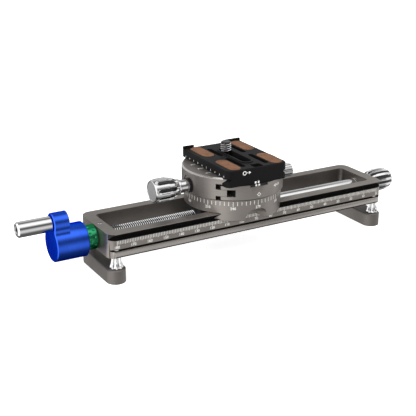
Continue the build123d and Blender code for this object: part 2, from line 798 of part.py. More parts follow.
# Washer on the jaw's spot face, under the clamp knob.
with BuildPart() as clamp_washer:
    with BuildSketch(clamp_plane):
        Circle(washer_radius)
        Circle(clamp_screw_radius + running_gap, mode=Mode.SUBTRACT)
    extrude(amount=-washer_thickness)
publish(clamp_washer.part, "clamp_washer")

# Clamp knob: neck, collar, taper and fluted barrel with a sunk flat face, on its screw.
clamp_start = spot_face_place + washer_thickness + slide_gap
collar_start = clamp_start + clamp_neck_length
taper_start = collar_start + clamp_collar_length
clamp_barrel = taper_start + clamp_taper_length
clamp_end = clamp_start + clamp_knob_length
with BuildPart() as clamp_knob:
    with BuildSketch(clamp_section):
        with BuildLine():
            Polyline(
                (-clamp_start, 0),
                (-clamp_start, clamp_neck_radius),
                (-collar_start, clamp_neck_radius),
                (-collar_start, clamp_collar_radius),
                (-taper_start, clamp_collar_radius),
                (-clamp_barrel, clamp_knob_radius),
                (-clamp_end + clamp_knob_rim, clamp_knob_radius),
                (-clamp_end, clamp_knob_rim_radius),
                (-clamp_end, clamp_face_radius),
                (-clamp_end + clamp_face_sink, clamp_face_radius),
                (-clamp_end + clamp_face_sink, 0),
                close=True,
            )
        make_face()
    revolve(axis=clamp_axis)
    clamp_flute_circle = clamp_knob_radius - clamp_flute_depth + clamp_flute_radius
    with BuildSketch(facing_x(carriage_x - taper_start, 0, clamp_z)):
        with PolarLocations(clamp_flute_circle, clamp_flute_count):
            Circle(clamp_flute_radius)
    extrude(amount=-(clamp_end - taper_start - clamp_knob_rim), mode=Mode.SUBTRACT)
    with BuildSketch(facing_x(carriage_x - clamp_start, 0, clamp_z)):
        Circle(clamp_screw_radius)
    extrude(amount=clamp_start - clamp_screw_tip)
publish(clamp_knob.part, "clamp_knob")

# Pan lock knob: its stem reaches in to the pivot.
lock_start = spot_face_place + slide_gap
lock_barrel = lock_start + lock_neck_length
lock_end = lock_start + lock_knob_length
with BuildPart() as pan_lock_knob:
    with BuildSketch(lock_section):
        with BuildLine():
            Polyline(
                (lock_start, 0),
                (lock_start, lock_neck_radius),
                (lock_barrel, lock_neck_radius),
                (lock_barrel, lock_knob_radius - lock_knob_edge),
                (lock_barrel + lock_knob_edge, lock_knob_radius),
                (lock_end - lock_knob_edge, lock_knob_radius),
                (lock_end, lock_knob_radius - lock_knob_edge),
                (lock_end, 0),
                close=True,
            )
        make_face()
    revolve(axis=lock_axis)
    lock_flute_circle = lock_knob_radius - lock_flute_depth + lock_flute_radius
    with BuildSketch(facing_x(carriage_x + lock_barrel, 0, lock_z)):
        with PolarLocations(lock_flute_circle, lock_flute_count):
            Circle(lock_flute_radius)
    extrude(amount=lock_knob_length, mode=Mode.SUBTRACT)
    with BuildSketch(facing_x(carriage_x + lock_start, 0, lock_z)):
        Circle(clamp_screw_radius)
    extrude(amount=-(lock_start - pivot_radius - turn_gap))
publish(pan_lock_knob.part, "pan_lock_knob")

# Quick release plate: dovetail section, slots through it, ribs beside the screw slot, pockets for
# the pads, and a raised lip at each back corner.
plate_profile = [
    (0, plate_bottom),
    (plate_half, plate_bottom),
    (plate_half, dovetail_low),
    (neck_half, dovetail_high),
    (neck_half, flange_under),
    (plate_half, flange_under),
    (plate_half, plate_top),
    (0, plate_top),
]
side_slots = [
    (side, start, end)
    for side in (pad_offset - side_slot_place, pad_offset + side_slot_place)
    for start, end in ((back_slot_start, back_slot_end), (front_slot_end, front_slot_start))
]
screw_slot_half = camera_neck_radius + slot_gap
screw_slot_middle = (screw_slot_front + screw_slot_back) / 2
screw_slot_length = screw_slot_back - screw_slot_front
rib_place = screw_slot_half + rib_width
pad_places = [
    (pad_offset + side * pad_spacing_x / 2, end * pad_spacing_y / 2)
    for side in (-1, 1)
    for end in (-1, 1)
]
pocket_middle = -plate_length / 2 + front_pocket_rim + front_pocket_length / 2
with BuildSketch(on_plate(plate_bottom)) as plate_outline:
    Rectangle(plate_width, plate_length)
    fillet(plate_outline.vertices().group_by(Axis.Y)[0], plate_front_corner)
    fillet(plate_outline.vertices().group_by(Axis.Y)[-1], plate_back_corner)
with BuildPart() as qr_plate:
    with BuildSketch(plate_section):
        with BuildLine():
            Polyline(*plate_profile, close=True)
        make_face()
        mirror(about=Plane.YZ)
    extrude(amount=plate_length / 2, both=True)
    extrude(plate_outline.sketch, amount=plate_height, mode=Mode.INTERSECT)
    chamfer(qr_plate.edges().group_by(Axis.Z)[-1], plate_edge)
    with BuildSketch(on_plate(plate_top)):
        with Locations((-plate_half + lip_left_width / 2, (plate_length - lip_depth) / 2)):
            Rectangle(lip_left_width, lip_depth)
        with Locations((plate_half - lip_right_width / 2, (plate_length - lip_depth) / 2)):
            Rectangle(lip_right_width, lip_depth)
    extrude(amount=lip_height)
    extrude(
        qr_plate.faces().filter_by(Axis.Z).group_by(Axis.Z)[-1],
        amount=-lip_height - plate_edge,
    )
    extrude(plate_outline.sketch, amount=plate_height + lip_height, mode=Mode.INTERSECT)
    with BuildSketch(on_plate(plate_top)):
        with Locations((0, screw_slot_middle)):
            SlotOverall(screw_slot_length + 2 * rib_width, 2 * rib_place, rotation=90)
    extrude(amount=rib_height)
    with BuildSketch(on_plate(plate_bottom)):
        for side, start, end in side_slots:
            with Locations((side, (start + end) / 2)):
                SlotOverall(end - start, side_slot_width, rotation=90)
        with Locations((0, screw_slot_middle)):
            SlotOverall(screw_slot_length, 2 * screw_slot_half, rotation=90)
    extrude(amount=plate_height + rib_height, mode=Mode.SUBTRACT)
    with BuildSketch(on_plate(plate_bottom)):
        with Locations((0, screw_slot_middle)):
            SlotOverall(
                screw_slot_length + 2 * (camera_head_radius - camera_neck_radius),
                2 * (camera_head_radius + slot_gap),
                rotation=90,
            )
    extrude(amount=screw_slot_floor, mode=Mode.SUBTRACT)
    with BuildSketch(on_plate(plate_top)):
        with Locations(*pad_places):
            SlotOverall(pad_length, pad_width, rotation=90)
    extrude(amount=-(pad_thickness - pad_proud), mode=Mode.SUBTRACT)
    with BuildSketch(on_plate(plate_top)):
        with Locations((pad_offset, pocket_middle)):
            RectangleRounded(front_pocket_width, front_pocket_length, front_pocket_rim)
    extrude(amount=-front_pocket_depth, mode=Mode.SUBTRACT)
publish(qr_plate.part, "qr_plate")

# Grip pads: four stadiums laid in the plate's pockets.
with BuildPart() as grip_pads:
    with BuildSketch(on_plate(plate_top - pad_thickness + pad_proud)):
        with Locations(*pad_places):
            SlotOverall(pad_length - 2 * fixed_gap, pad_width - 2 * fixed_gap, rotation=90)
    extrude(amount=pad_thickness)
publish(grip_pads.part, "grip_pads")

# Camera screw: head in the wide slot underneath, plain neck through the plate, threaded end above.
head_bottom = plate_bottom + screw_slot_floor - slide_gap - camera_head_height
thread_bottom = plate_top + camera_screw_neck
camera_screw_top = plate_top + camera_screw_reach
camera_place = (0, camera_screw_place)
with BuildPart() as camera_screw:
    with BuildSketch(on_plate(head_bottom)):
        with Locations(camera_place):
            Circle(camera_head_radius)
    extrude(amount=camera_head_height)
    with BuildSketch(on_plate(head_bottom)):
        with Locations(camera_place):
            Circle(camera_neck_radius)
    extrude(amount=thread_bottom - head_bottom)
    with BuildSketch(on_plate(thread_bottom)):
        with Locations(camera_place):
            Circle(camera_screw_radius)
    extrude(amount=camera_screw_top - thread_bottom)
    chamfer(camera_screw.edges().group_by(Axis.Z)[-1], camera_screw_point)
publish(camera_screw.part, "camera_screw")
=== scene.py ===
"""Looks for a macro focusing rail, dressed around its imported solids.

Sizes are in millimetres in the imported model's frame: X runs along the rail towards the fluted end
knob, Y to the back and Z up from the floor. A mesh is turned to metres as it is made.
"""

import logging
import math
from dataclasses import dataclass
from enum import Enum
from typing import Callable, Sequence

import bmesh
import bpy
import numpy as np
from mathutils import Matrix, Vector


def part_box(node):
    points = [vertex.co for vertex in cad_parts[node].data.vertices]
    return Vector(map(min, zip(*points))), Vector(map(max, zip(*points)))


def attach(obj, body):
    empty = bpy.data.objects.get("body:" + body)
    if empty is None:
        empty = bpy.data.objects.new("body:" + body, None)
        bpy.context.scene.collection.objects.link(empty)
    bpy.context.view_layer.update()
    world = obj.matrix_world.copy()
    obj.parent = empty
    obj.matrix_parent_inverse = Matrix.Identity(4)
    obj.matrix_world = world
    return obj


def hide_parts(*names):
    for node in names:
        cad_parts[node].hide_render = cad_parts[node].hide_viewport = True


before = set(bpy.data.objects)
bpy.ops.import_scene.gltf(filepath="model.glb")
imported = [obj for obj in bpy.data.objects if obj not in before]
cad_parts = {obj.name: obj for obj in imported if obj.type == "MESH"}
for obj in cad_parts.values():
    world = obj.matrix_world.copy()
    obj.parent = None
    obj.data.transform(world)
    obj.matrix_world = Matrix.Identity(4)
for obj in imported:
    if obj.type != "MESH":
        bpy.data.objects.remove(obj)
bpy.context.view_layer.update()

LOG = logging.getLogger("focusing_rail")
MM = 0.001
TURN = 2.0 * math.pi
Surface = Callable[[np.ndarray], np.ndarray]
Tree = bpy.types.NodeTree
Socket = bpy.types.NodeSocket
Triple = tuple[float, float, float]
# The radius, in millimetres, that closes a turned piece on its axis.
AXIS = 0.001
# Degrees over which an edge stays crisp: on turned pieces, on threads and on copied CAD nodes.
TURNED_CREASE, THREAD_CREASE, CAD_CREASE = 50.0, 40.0, 28.0
# Metres under which points are one, in meshes made here and in the CAD's, and a sliver's width.
OWN_MERGE, CAD_MERGE, SLIVER = 1e-7, 2e-6, 1e-8
# Degrees under which CAD faces lie flat to each other, and over which their edge is softened.
FLAT_ANGLE, SOFT_ANGLE = 0.4, 30.0


# --- Places --------------------------------------------------------------------------------------


def span(node: str) -> tuple[np.ndarray, np.ndarray]:
    """Return a CAD node's lowest and highest corners at rest, in millimetres."""
    low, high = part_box(node)
    return np.array(low) / MM, np.array(high) / MM


def middle(node: str) -> np.ndarray:
    """Return the middle of a CAD node's box, in millimetres."""
    low, high = span(node)
    return (low + high) / 2


@dataclass(frozen=True)
class Places:
    """Axes and faces that several sub-assemblies share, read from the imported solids."""

    rail_low: np.ndarray
    rail_high: np.ndarray
    screw_z: float
    pan_x: float
    base_top: float
    body_top: float

    @classmethod
    def measured(cls) -> "Places":
        """Read the places from the boxes of the CAD nodes."""
        low, high = span("rail_frame")
        return cls(
            rail_low=low,
            rail_high=high,
            screw_z=float(middle("crank_ring")[2]),
            pan_x=float(middle("carriage_base")[0]),
            base_top=float(span("carriage_base")[1][2]),
            body_top=float(span("pan_body")[1][2]),
        )


AT = Places.measured()
PAN_AXIS = (AT.pan_x, 0.0, 0.0)
SCREW_AXIS = (0.0, 0.0, AT.screw_z)


# --- Materials -----------------------------------------------------------------------------------


def linear_colour(code: str) -> tuple[float, float, float, float]:
    """Turn an sRGB hex colour to linear light.

    Args:
        code: Six hex digits, with or without a leading hash.

    Returns:
        Red, green, blue and an alpha of one.
    """
    digits = code.lstrip("#")
    values = np.array([int(digits[k : k + 2], 16) for k in (0, 2, 4)]) / 255.0
    linear = np.where(values <= 0.04045, values / 12.92, ((values + 0.055) / 1.055) ** 2.4)
    return (float(linear[0]), float(linear[1]), float(linear[2]), 1.0)


def add_node(tree: Tree, kind: str, sockets: dict | None = None, **settings: object) -> bpy.types.Node:
    """Add one node with its settings, values and links.

    Args:
        tree: The material's node tree.
        kind: Blender's name for the node.
        sockets: Input name or index to a value, or to the output socket that feeds it.
        **settings: Attributes of the node.

    Returns:
        The new node.
    """
    node = tree.nodes.new(kind)
    for key, value in settings.items():
        setattr(node, key, value)
    for key, value in (sockets or {}).items():
        if isinstance(value, Socket):
            tree.links.new(value, node.inputs[key])
        else:
            node.inputs[key].default_value = value
    return node


def calculate(tree: Tree, operation: str, first: object, second: object) -> Socket:
    """Add a Math node for two values or sockets and return its result."""
    return add_node(tree, "ShaderNodeMath", {0: first, 1: second}, operation=operation).outputs[0]


def remap(
    tree: Tree, value: Socket, source: tuple, target: tuple = (0.0, 1.0), ease: str = "LINEAR"
) -> Socket:
    """Add a Map Range node that takes the source range to the target range."""
    ends = dict(zip(("From Min", "From Max", "To Min", "To Max"), source + target))
    node = add_node(tree, "ShaderNodeMapRange", {"Value": value, **ends}, interpolation_type=ease)
    return node.outputs[0]


def blend(tree: Tree, share: Socket, first: object, second: object) -> Socket:
    """Mix two colours: the first where the share is zero, the second where it is one."""
    sockets = {"Factor": share, 6: first, 7: second}
    return add_node(tree, "ShaderNodeMix", sockets, data_type="RGBA").outputs[2]


class Grain(Enum):
    """How a surface was worked, which sets the way its fine pattern runs."""

    EVEN = "blasted or moulded, the same every way"
    ALONG_X = "brushed or milled along the rail"
    ALONG_Y = "streaked from front to back"
    ROUND_X = "turned about an axis along the rail"
    ROUND_Z = "turned about an upright axis"


@dataclass(frozen=True)
class Finish:
    """One real finish: its colours, its gloss and the fine pattern that working it left.

    The roughness varies by the spread. Grain lines are grain_mm wide and relief_mm deep, and
    straight ones are run_mm long.
    """

    name: str
    colour: str
    tint: str
    metallic: float
    roughness: float
    spread: float
    grain: Grain
    grain_mm: float
    relief_mm: float
    run_mm: float = 1.0
    centre: Triple = (0.0, 0.0, 0.0)
    blotch_mm: float = 30.0
    dyed: bool = False
    gloss: float = 0.5

    def pattern(self, tree: Tree) -> Socket:
        """Add the nodes that give the grain's coordinates.

        Args:
            tree: The material's node tree.

        Returns:
            A vector that moves by one for each grain's width across and run along.
        """
        least_radius, round_cells = 1e-5, 6.0
        place = add_node(tree, "ShaderNodeTexCoord").outputs["Object"]
        ends = {0: place, 1: tuple(v * MM for v in self.centre)}
        shift = add_node(tree, "ShaderNodeVectorMath", ends, operation="SUBTRACT").outputs[0]
        across, run = 1.0 / (self.grain_mm * MM), 1.0 / (self.run_mm * MM)
        scales = {
            Grain.EVEN: (across, across, across),
            Grain.ALONG_X: (run, across, across),
            Grain.ALONG_Y: (across, run, across),
        }
        if self.grain in scales:
            scaled = {0: shift, 1: scales[self.grain]}
            return add_node(tree, "ShaderNodeVectorMath", scaled, operation="MULTIPLY").outputs[0]
        x, y, z = add_node(tree, "ShaderNodeSeparateXYZ", {0: shift}).outputs
        first, second, along = (x, y, z) if self.grain is Grain.ROUND_Z else (y, z, x)
        flat = add_node(tree, "ShaderNodeCombineXYZ", {0: first, 1: second}).outputs[0]
        radius = add_node(tree, "ShaderNodeVectorMath", {0: flat}, operation="LENGTH").outputs["Value"]
        turn = calculate(tree, "DIVIDE", first, calculate(tree, "MAXIMUM", radius, least_radius))
        rings = (
            calculate(tree, "MULTIPLY", radius, across),
            calculate(tree, "MULTIPLY", along, across),
            calculate(tree, "MULTIPLY", turn, round_cells),
        )
        return add_node(tree, "ShaderNodeCombineXYZ", dict(enumerate(rings))).outputs[0]

    def material(self) -> bpy.types.Material:
        """Return this finish's material, made once."""
        made = bpy.data.materials.get(self.name)
        return made if made else self.make()

    def make(self) -> bpy.types.Material:
        """Make the node material: grain drives colour, roughness and relief.

        The two colours mix by blotch (1 + grain), so that lines are strongest in the blotches.
        """
        made = bpy.data.materials.new(self.name)
        made.use_nodes = True
        tree = made.node_tree
        tree.nodes.clear()
        fine = {"Vector": self.pattern(tree), "Scale": 1.0, "Detail": 3.0, "Roughness": 0.55}
        grain = add_node(tree, "ShaderNodeTexNoise", fine).outputs[0]
        place = add_node(tree, "ShaderNodeTexCoord").outputs["Object"]
        broad = {"Vector": place, "Scale": 1.0 / (self.blotch_mm * MM), "Detail": 2.0}
        blotch = add_node(tree, "ShaderNodeTexNoise", broad).outputs[0]
        both = {0: grain, 1: blotch, 2: blotch}
        mixed = add_node(tree, "ShaderNodeMath", both, operation="MULTIPLY_ADD").outputs[0]
        share = remap(tree, mixed, (0.6, 1.1))
        rough = (self.roughness - self.spread, self.roughness + self.spread)
        height = {"Height": grain, "Strength": 1.0, "Distance": self.relief_mm * MM}
        sockets = {
            "Base Color": blend(tree, share, linear_colour(self.colour), linear_colour(self.tint)),
            "Roughness": remap(tree, grain, (0.3, 0.7), rough),
            "Normal": add_node(tree, "ShaderNodeBump", height).outputs[0],
            "Metallic": self.metallic,
            "Specular IOR Level": self.gloss,
        }
        if self.dyed:
            sockets["Specular Tint"] = linear_colour(self.colour)
        shader = add_node(tree, "ShaderNodeBsdfPrincipled", sockets)
        add_node(tree, "ShaderNodeOutputMaterial", {"Surface": shader.outputs[0]})
        return made


@dataclass(frozen=True)
class Palette:
    """Every finish on the rail."""

    # Milled 6061 aluminium, brushed along the rail and hard anodised: a warm grey satin sheen
    # drawn out into fine lines. The lines are wider than real ones, so that they show.
    rail: Finish = Finish(
        "brushed_anodised_aluminium", "#8d8781", "#77716c", 0.8, 0.38, 0.06, Grain.ALONG_X, 0.35, 0.006, 18.0
    )
    # The same metal in the grooves, undercuts, bottom chamfers and slots, coloured near black as painted
    # shade: dark, with little sheen.
    hollow: Finish = Finish(
        "painted_shade_near_black", "#1d1c1b", "#161514", 0.4, 0.5, 0.05, Grain.ALONG_X, 0.35, 0.004, 12.0
    )
    # The window's walls, coloured darker than the strip as painted shade inside the window.
    inner_wall: Finish = Finish(
        "window_walls_painted_shade", "#6c6762", "#5b5652", 0.75, 0.42, 0.05, Grain.ALONG_X, 0.35, 0.006, 12.0
    )
    # The rail's lower flange, coloured paler than the strip as a painted highlight, and glossier.
    flange: Finish = Finish(
        "flange_painted_highlight", "#b3ada7", "#9d9792", 0.85, 0.30, 0.05, Grain.ALONG_X, 0.35, 0.005, 18.0
    )
    # The same aluminium, turned: the lines run round the carriage.
    drum: Finish = Finish(
        "turned_anodised_aluminium", "#8d8782", "#797470", 0.8, 0.40, 0.05, Grain.ROUND_Z, 0.3, 0.005,
        centre=PAN_AXIS,
    )
    # The feet, blasted before anodising: the dullest grey on the rail, with an even tooth.
    foot: Finish = Finish(
        "blasted_anodised_aluminium", "#726d69", "#605c58", 0.65, 0.5, 0.05, Grain.EVEN, 0.35, 0.006
    )
    # The chamfer round the pan body's top: the aluminium coloured pale and made glossy, as a painted
    # highlight.
    bright_cut: Finish = Finish(
        "chamfer_painted_highlight", "#e6e3df", "#d6d3cf", 1.0, 0.24, 0.04, Grain.ROUND_Z, 0.3, 0.003,
        centre=PAN_AXIS,
    )
    # Polished brass under bright chrome plate: sharp reflections with almost no texture.
    chrome: Finish = Finish("chrome_plate", "#e4e4e4", "#d9d9da", 1.0, 0.07, 0.02, Grain.EVEN, 1.2, 0.0008)
    # The floors of flutes and threads, coloured dark as painted shade: dark and satin.
    flute_floor: Finish = Finish(
        "flute_floors_painted_shade", "#454546", "#363637", 1.0, 0.3, 0.05, Grain.EVEN, 0.6, 0.002
    )
    # The clamp knob's end, under a matt grey paint: flat, with no reflection of its own.
    disc: Finish = Finish("grey_painted_metal", "#8f8f8f", "#868686", 0.0, 0.5, 0.04, Grain.EVEN, 0.5, 0.003)
    # Stainless steel, turned: bright with fine rings.
    steel: Finish = Finish(
        "turned_stainless_steel", "#e0e0e0", "#cccccc", 1.0, 0.12, 0.03, Grain.ROUND_X, 0.25, 0.002,
        centre=SCREW_AXIS,
    )
    # Stainless steel pins and screws, ground: an even soft shine.
    pin_steel: Finish = Finish(
        "ground_stainless_steel", "#cfcfcf", "#b5b5b5", 1.0, 0.22, 0.05, Grain.EVEN, 0.4, 0.002
    )
    # Turned aluminium, dyed and anodised: the dye tints the metal's own reflections.
    blue: Finish = Finish(
        "blue_anodised_aluminium", "#3a6cf4", "#2c58e0", 1.0, 0.30, 0.04, Grain.ROUND_X, 0.3, 0.005,
        centre=SCREW_AXIS, dyed=True,
    )
    # The ring, dyed green in the same way.
    green: Finish = Finish(
        "green_anodised_aluminium", "#3fb27a", "#2f8f60", 1.0, 0.30, 0.04, Grain.ROUND_X, 0.3, 0.004,
        centre=SCREW_AXIS, dyed=True,
    )
    # Blasted aluminium, anodised black: nearly matt, with a fine tooth.
    black: Finish = Finish(
        "black_anodised_aluminium", "#171718", "#111112", 0.0, 0.5, 0.05, Grain.EVEN, 0.3, 0.008, gloss=0.08
    )
    # Grip pads of brown cork rubber, calendered: short darker streaks from front to back.
    pad: Finish = Finish(
        "brown_cork_rubber", "#7b553b", "#65432d", 0.0, 0.75, 0.08, Grain.ALONG_Y, 0.45, 0.03, 4.5,
        blotch_mm=6.0,
    )
    # Moulded nylon, black and matt.
    nylon: Finish = Finish(
        "moulded_black_nylon", "#17171a", "#101012", 0.0, 0.55, 0.05, Grain.EVEN, 0.3, 0.004
    )
    # Screen-printed and filled marks in matt white enamel.
    ink: Finish = Finish("white_fill_enamel", "#f4f3ef", "#e6e4de", 0.0, 0.55, 0.05, Grain.EVEN, 0.3, 0.002)


PALETTE = Palette()


# --- Mesh making ---------------------------------------------------------------------------------


@dataclass
class Shell:
    """Points in millimetres and the faces between them."""

    points: np.ndarray
    faces: list


def joined(shells: Sequence[Shell]) -> Shell:
    """Put several shells into one, each face list shifted past the points before it."""
    faces, start = [], 0
    for shell in shells:
        faces += [tuple(int(i) + start for i in face) for face in shell.faces]
        start += len(shell.points)
    return Shell(np.concatenate([s.points for s in shells]), faces)


def grid_shell(grid: np.ndarray) -> Shell:
    """Quads over a grid of points whose last column meets its first.

    Args:
        grid: Rows by columns by three. Rows run along the piece, columns round it.

    Returns:
        The grid's shell. Corner (r, c) joins (r, c + 1), (r + 1, c + 1) and (r + 1, c).
    """
    rows, cols = grid.shape[:2]
    r, c = np.arange(rows - 1)[:, None], np.arange(cols)[None, :]
    after = (c + 1) % cols
    quads = np.stack([r * cols + c, r * cols + after, (r + 1) * cols + after, (r + 1) * cols + c], -1)
    return Shell(grid.reshape(-1, 3), quads.reshape(-1, 4).tolist())


def make_piece(
    name: str,
    shell: Shell,
    finish: Finish,
    body: str,
    nodes: Sequence[str] = (),
    crease: float = 32.0,
    fill: bool = False,
) -> bpy.types.Object:
    """Make an object from a shell and let it ride on a CAD body.

    Args:
        name: The object's name.
        shell: Its points in millimetres and its faces.
        finish: What it is made of.
        body: The CAD body that carries it.
        nodes: CAD nodes that it replaces.
        crease: Edges sharper than this many degrees stay crisp.
        fill: Close any open rim with one face.

    Returns:
        The object, at the origin, with its place in its mesh.
    """
    mesh = bpy.data.meshes.new(name)
    mesh.from_pydata((shell.points * MM).tolist(), [], shell.faces)
    work = bmesh.new()
    work.from_mesh(mesh)
    bmesh.ops.remove_doubles(work, verts=work.verts, dist=OWN_MERGE)
    bmesh.ops.dissolve_degenerate(work, edges=work.edges, dist=SLIVER)
    if fill:
        bmesh.ops.holes_fill(work, edges=[e for e in work.edges if e.is_boundary], sides=0)
    bmesh.ops.recalc_face_normals(work, faces=work.faces)
    return settle(work, mesh, name, finish, body, nodes, crease)


def settle(
    work: bmesh.types.BMesh,
    mesh: bpy.types.Mesh,
    name: str,
    finish: Finish,
    body: str,
    nodes: Sequence[str],
    crease: float,
) -> bpy.types.Object:
    """Write a worked mesh back, shade it, dress it and make it ride.

    Args:
        work: The worked mesh, which is freed here.
        mesh: The mesh that takes it.
        name: The object's name.
        finish: What it is made of.
        body: The CAD body that carries it.
        nodes: CAD nodes that it replaces.
        crease: Edges sharper than this many degrees stay crisp.

    Returns:
        The new object.
    """
    work.to_mesh(mesh)
    work.free()
    mesh.polygons.foreach_set("use_smooth", np.ones(len(mesh.polygons), dtype=bool))
    mesh.set_sharp_from_angle(angle=math.radians(crease))
    mesh.materials.clear()
    mesh.materials.append(finish.material())
    piece = bpy.data.objects.new(name, mesh)
    bpy.context.scene.collection.objects.link(piece)
    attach(piece, body)
    if nodes:
        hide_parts(*nodes)
    LOG.info("%s: %d faces on %s", name, len(mesh.polygons), body)
    return piece


def refined(
    node: str,
    finish: Finish,
    body: str,
    bevel: float,
    reshape: Callable[[bmesh.types.BMesh], None] | None = None,
) -> bpy.types.Object:
    """Stand a merged copy with softened edges in for a CAD node.

    Args:
        node: The CAD node that is copied and replaced.
        finish: What it is made of.
        body: The CAD body that carries it.
        bevel: Width of the softened edges.
        reshape: Moves points of the merged mesh, in metres.

    Returns:
        The copy.
    """
    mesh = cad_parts[node].data.copy()
    work = bmesh.new()
    work.from_mesh(mesh)
    bmesh.ops.remove_doubles(work, verts=work.verts, dist=CAD_MERGE)
    flat = math.radians(FLAT_ANGLE)
    bmesh.ops.dissolve_limit(work, angle_limit=flat, verts=work.verts, edges=work.edges)
    if reshape:
        reshape(work)
    piece = settle(work, mesh, f"{node}_dressed", finish, body, (node,), CAD_CREASE)
    soft = piece.modifiers.new("softened_edges", "BEVEL")
    soft.width = bevel * MM
    soft.segments = 2
    soft.limit_method = "ANGLE"
    soft.angle_limit = math.radians(SOFT_ANGLE)
    soft.harden_normals = True
    return piece


def repaint(piece: bpy.types.Object, finish: Finish, chosen: Callable[[Vector, Vector], bool]) -> None:
    """Give some of a piece's faces another finish.

    Args:
        piece: The piece.
        finish: The other finish.
        chosen: Picks faces by their middle, in millimetres, and their normal.
    """
    mesh = piece.data
    mesh.materials.append(finish.material())
    for face in mesh.polygons:
        if chosen(face.center / MM, face.normal):
            face.material_index = len(mesh.materials) - 1


def dress(finish: Finish, *nodes: str) -> None:
    """Give the slots of CAD nodes one finish."""
    for node in nodes:
        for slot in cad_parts[node].material_slots:
            slot.material = finish.material()


def rounded_path(corners: Sequence[tuple[float, float]], radius: float, steps: int = 4) -> np.ndarray:
    """Round a path's inner corners.

    Each corner P between A and B becomes the curve (1-u)^2 S + 2u(1-u) P + u^2 E, where S and E
    lie on the two sides at the radius from P, or at 0.45 of a shorter side.

    Args:
        corners: The path's corners.
        radius: Distance from a corner at which its rounding starts.
        steps: Points along each rounding.

    Returns:
        The rounded path.
    """
    way = np.array(corners, float)
    out = [way[:1]]
    u = np.linspace(0.0, 1.0, steps + 1)[:, None]
    for before, corner, after in zip(way[:-2], way[1:-1], way[2:]):
        back, ahead = before - corner, after - corner
        cut = min(radius, 0.45 * np.hypot(*back), 0.45 * np.hypot(*ahead))
        start = corner + back * cut / np.hypot(*back)
        end = corner + ahead * cut / np.hypot(*ahead)
        out.append((1 - u) ** 2 * start + 2 * u * (1 - u) * corner + u**2 * end)
    return np.concatenate(out + [way[-1:]])


def close_spaced(path: np.ndarray, step: float) -> np.ndarray:
    """Add points to a path, so that none are further apart than the step."""
    run = np.concatenate([[0.0], np.cumsum(np.hypot(*np.diff(path, axis=0).T))])
    extra = np.arange(0.0, run[-1], step)
    marks = np.unique(np.round(np.concatenate([run, extra]), 6))
    return np.stack([np.interp(marks, run, path[:, k]) for k in (0, 1)], -1)


@dataclass(frozen=True)
class Flutes:
    """Round-bottomed grooves along a turned piece, spaced evenly round it."""

    count: int
    cutter: float
    depth: float
    start: float
    end: float
    ease: float
    phase: float = 0.0
    soft: float = 0.05

    def cut(self, along: np.ndarray, radius: np.ndarray, angle: np.ndarray) -> np.ndarray:
        """Return the radius after the grooves are cut.

        A cutter of radius q, centred at c = R - depth + q, leaves c cos(a) - sqrt(q^2 - c^2
        sin(a)^2) at an angle a from its middle. The depth eases in and out over a set length, and
        the smaller of the two radii wins, with a soft edge between them.

        Args:
            along: Place along the axis, one per row.
            radius: Profile radius, one per row.
            angle: Angle round the axis, one per column.

        Returns:
            Rows by columns of radii.
        """
        into = np.clip((along - self.start) / self.ease, 0, 1)
        out = np.clip((self.end - along) / self.ease, 0, 1)
        share = np.sin(into * math.pi / 2) * np.sin(out * math.pi / 2)
        pitch = TURN / self.count
        off = (angle + self.phase + pitch / 2) % pitch - pitch / 2
        centre = (radius - self.depth * share + self.cutter)[:, None]
        share, wide = share[:, None], radius[:, None]
        inside = self.cutter**2 - (centre * np.sin(off)[None, :]) ** 2
        groove = centre * np.cos(off) - np.sqrt(np.clip(inside, 0, None))
        groove = np.where(inside > 0, groove, np.inf)
        gap = np.clip((groove - wide) / self.soft, -40, 40)
        lower = wide - self.soft * np.log1p(np.exp(-gap))
        return np.where(share > 1e-3, lower + self.soft * math.log(2) * (share < 0.05), wide)


def turned(path: np.ndarray, sides: int, flutes: Flutes | None = None) -> np.ndarray:
    """Turn a profile round its axis.

    Point (s, a) lies at (s, r cos a, r sin a), where r is the profile's radius at s, less the
    flutes.

    Args:
        path: Profile as (along, radius) rows.
        sides: Points round the axis.
        flutes: Grooves to cut, if any.

    Returns:
        Rows by sides by three, with the axis along the first coordinate.
    """
    angle = np.arange(sides) * TURN / sides
    along, radius = path[:, 0], path[:, 1]
    wide = np.repeat(radius[:, None], sides, axis=1)
    if flutes:
        wide = flutes.cut(along, radius, angle)
    first = np.repeat(along[:, None], sides, axis=1)
    return np.stack([first, wide * np.cos(angle), wide * np.sin(angle)], -1)


def along_x(grid: np.ndarray, x: float, y: float, z: float, way: int = 1) -> np.ndarray:
    """Stand a turned piece's axis along X, from x towards +X or -X."""
    return np.stack([x + way * grid[..., 0], y + grid[..., 1], z + grid[..., 2]], -1)


def along_z(grid: np.ndarray, x: float, y: float, z: float, way: int = 1) -> np.ndarray:
    """Stand a turned piece's axis upright, from z up or down."""
    return np.stack([x + grid[..., 1], y + grid[..., 2], z + way * grid[..., 0]], -1)


def lathe(
    path: Sequence,
    sides: int,
    x: float,
    z: float,
    way: int = 1,
    y: float = 0.0,
    flutes: Flutes | None = None,
) -> Shell:
    """Turn a profile round an axis along X, from (x, y, z) towards +X or -X."""
    return grid_shell(along_x(turned(np.array(path), sides, flutes), x, y, z, way))


def paint_floors(
    piece: bpy.types.Object, z: float, low: float, high: float, reach: Callable[[float], float]
) -> None:
    """Paint shade into the floors of flutes or threads about an axis along X, midway from front to back, as a
    darker finish.

    Args:
        piece: The turned piece.
        z: The axis's height.
        low: Where the floors start along X.
        high: Where they end.
        reach: Radius under which a face is deep, against its place along X.
    """

    def deep(place: Vector, normal: Vector) -> bool:
        return low < place.x < high and math.hypot(place.y, place.z - z) < reach(place.x)

    repaint(piece, PALETTE.flute_floor, deep)


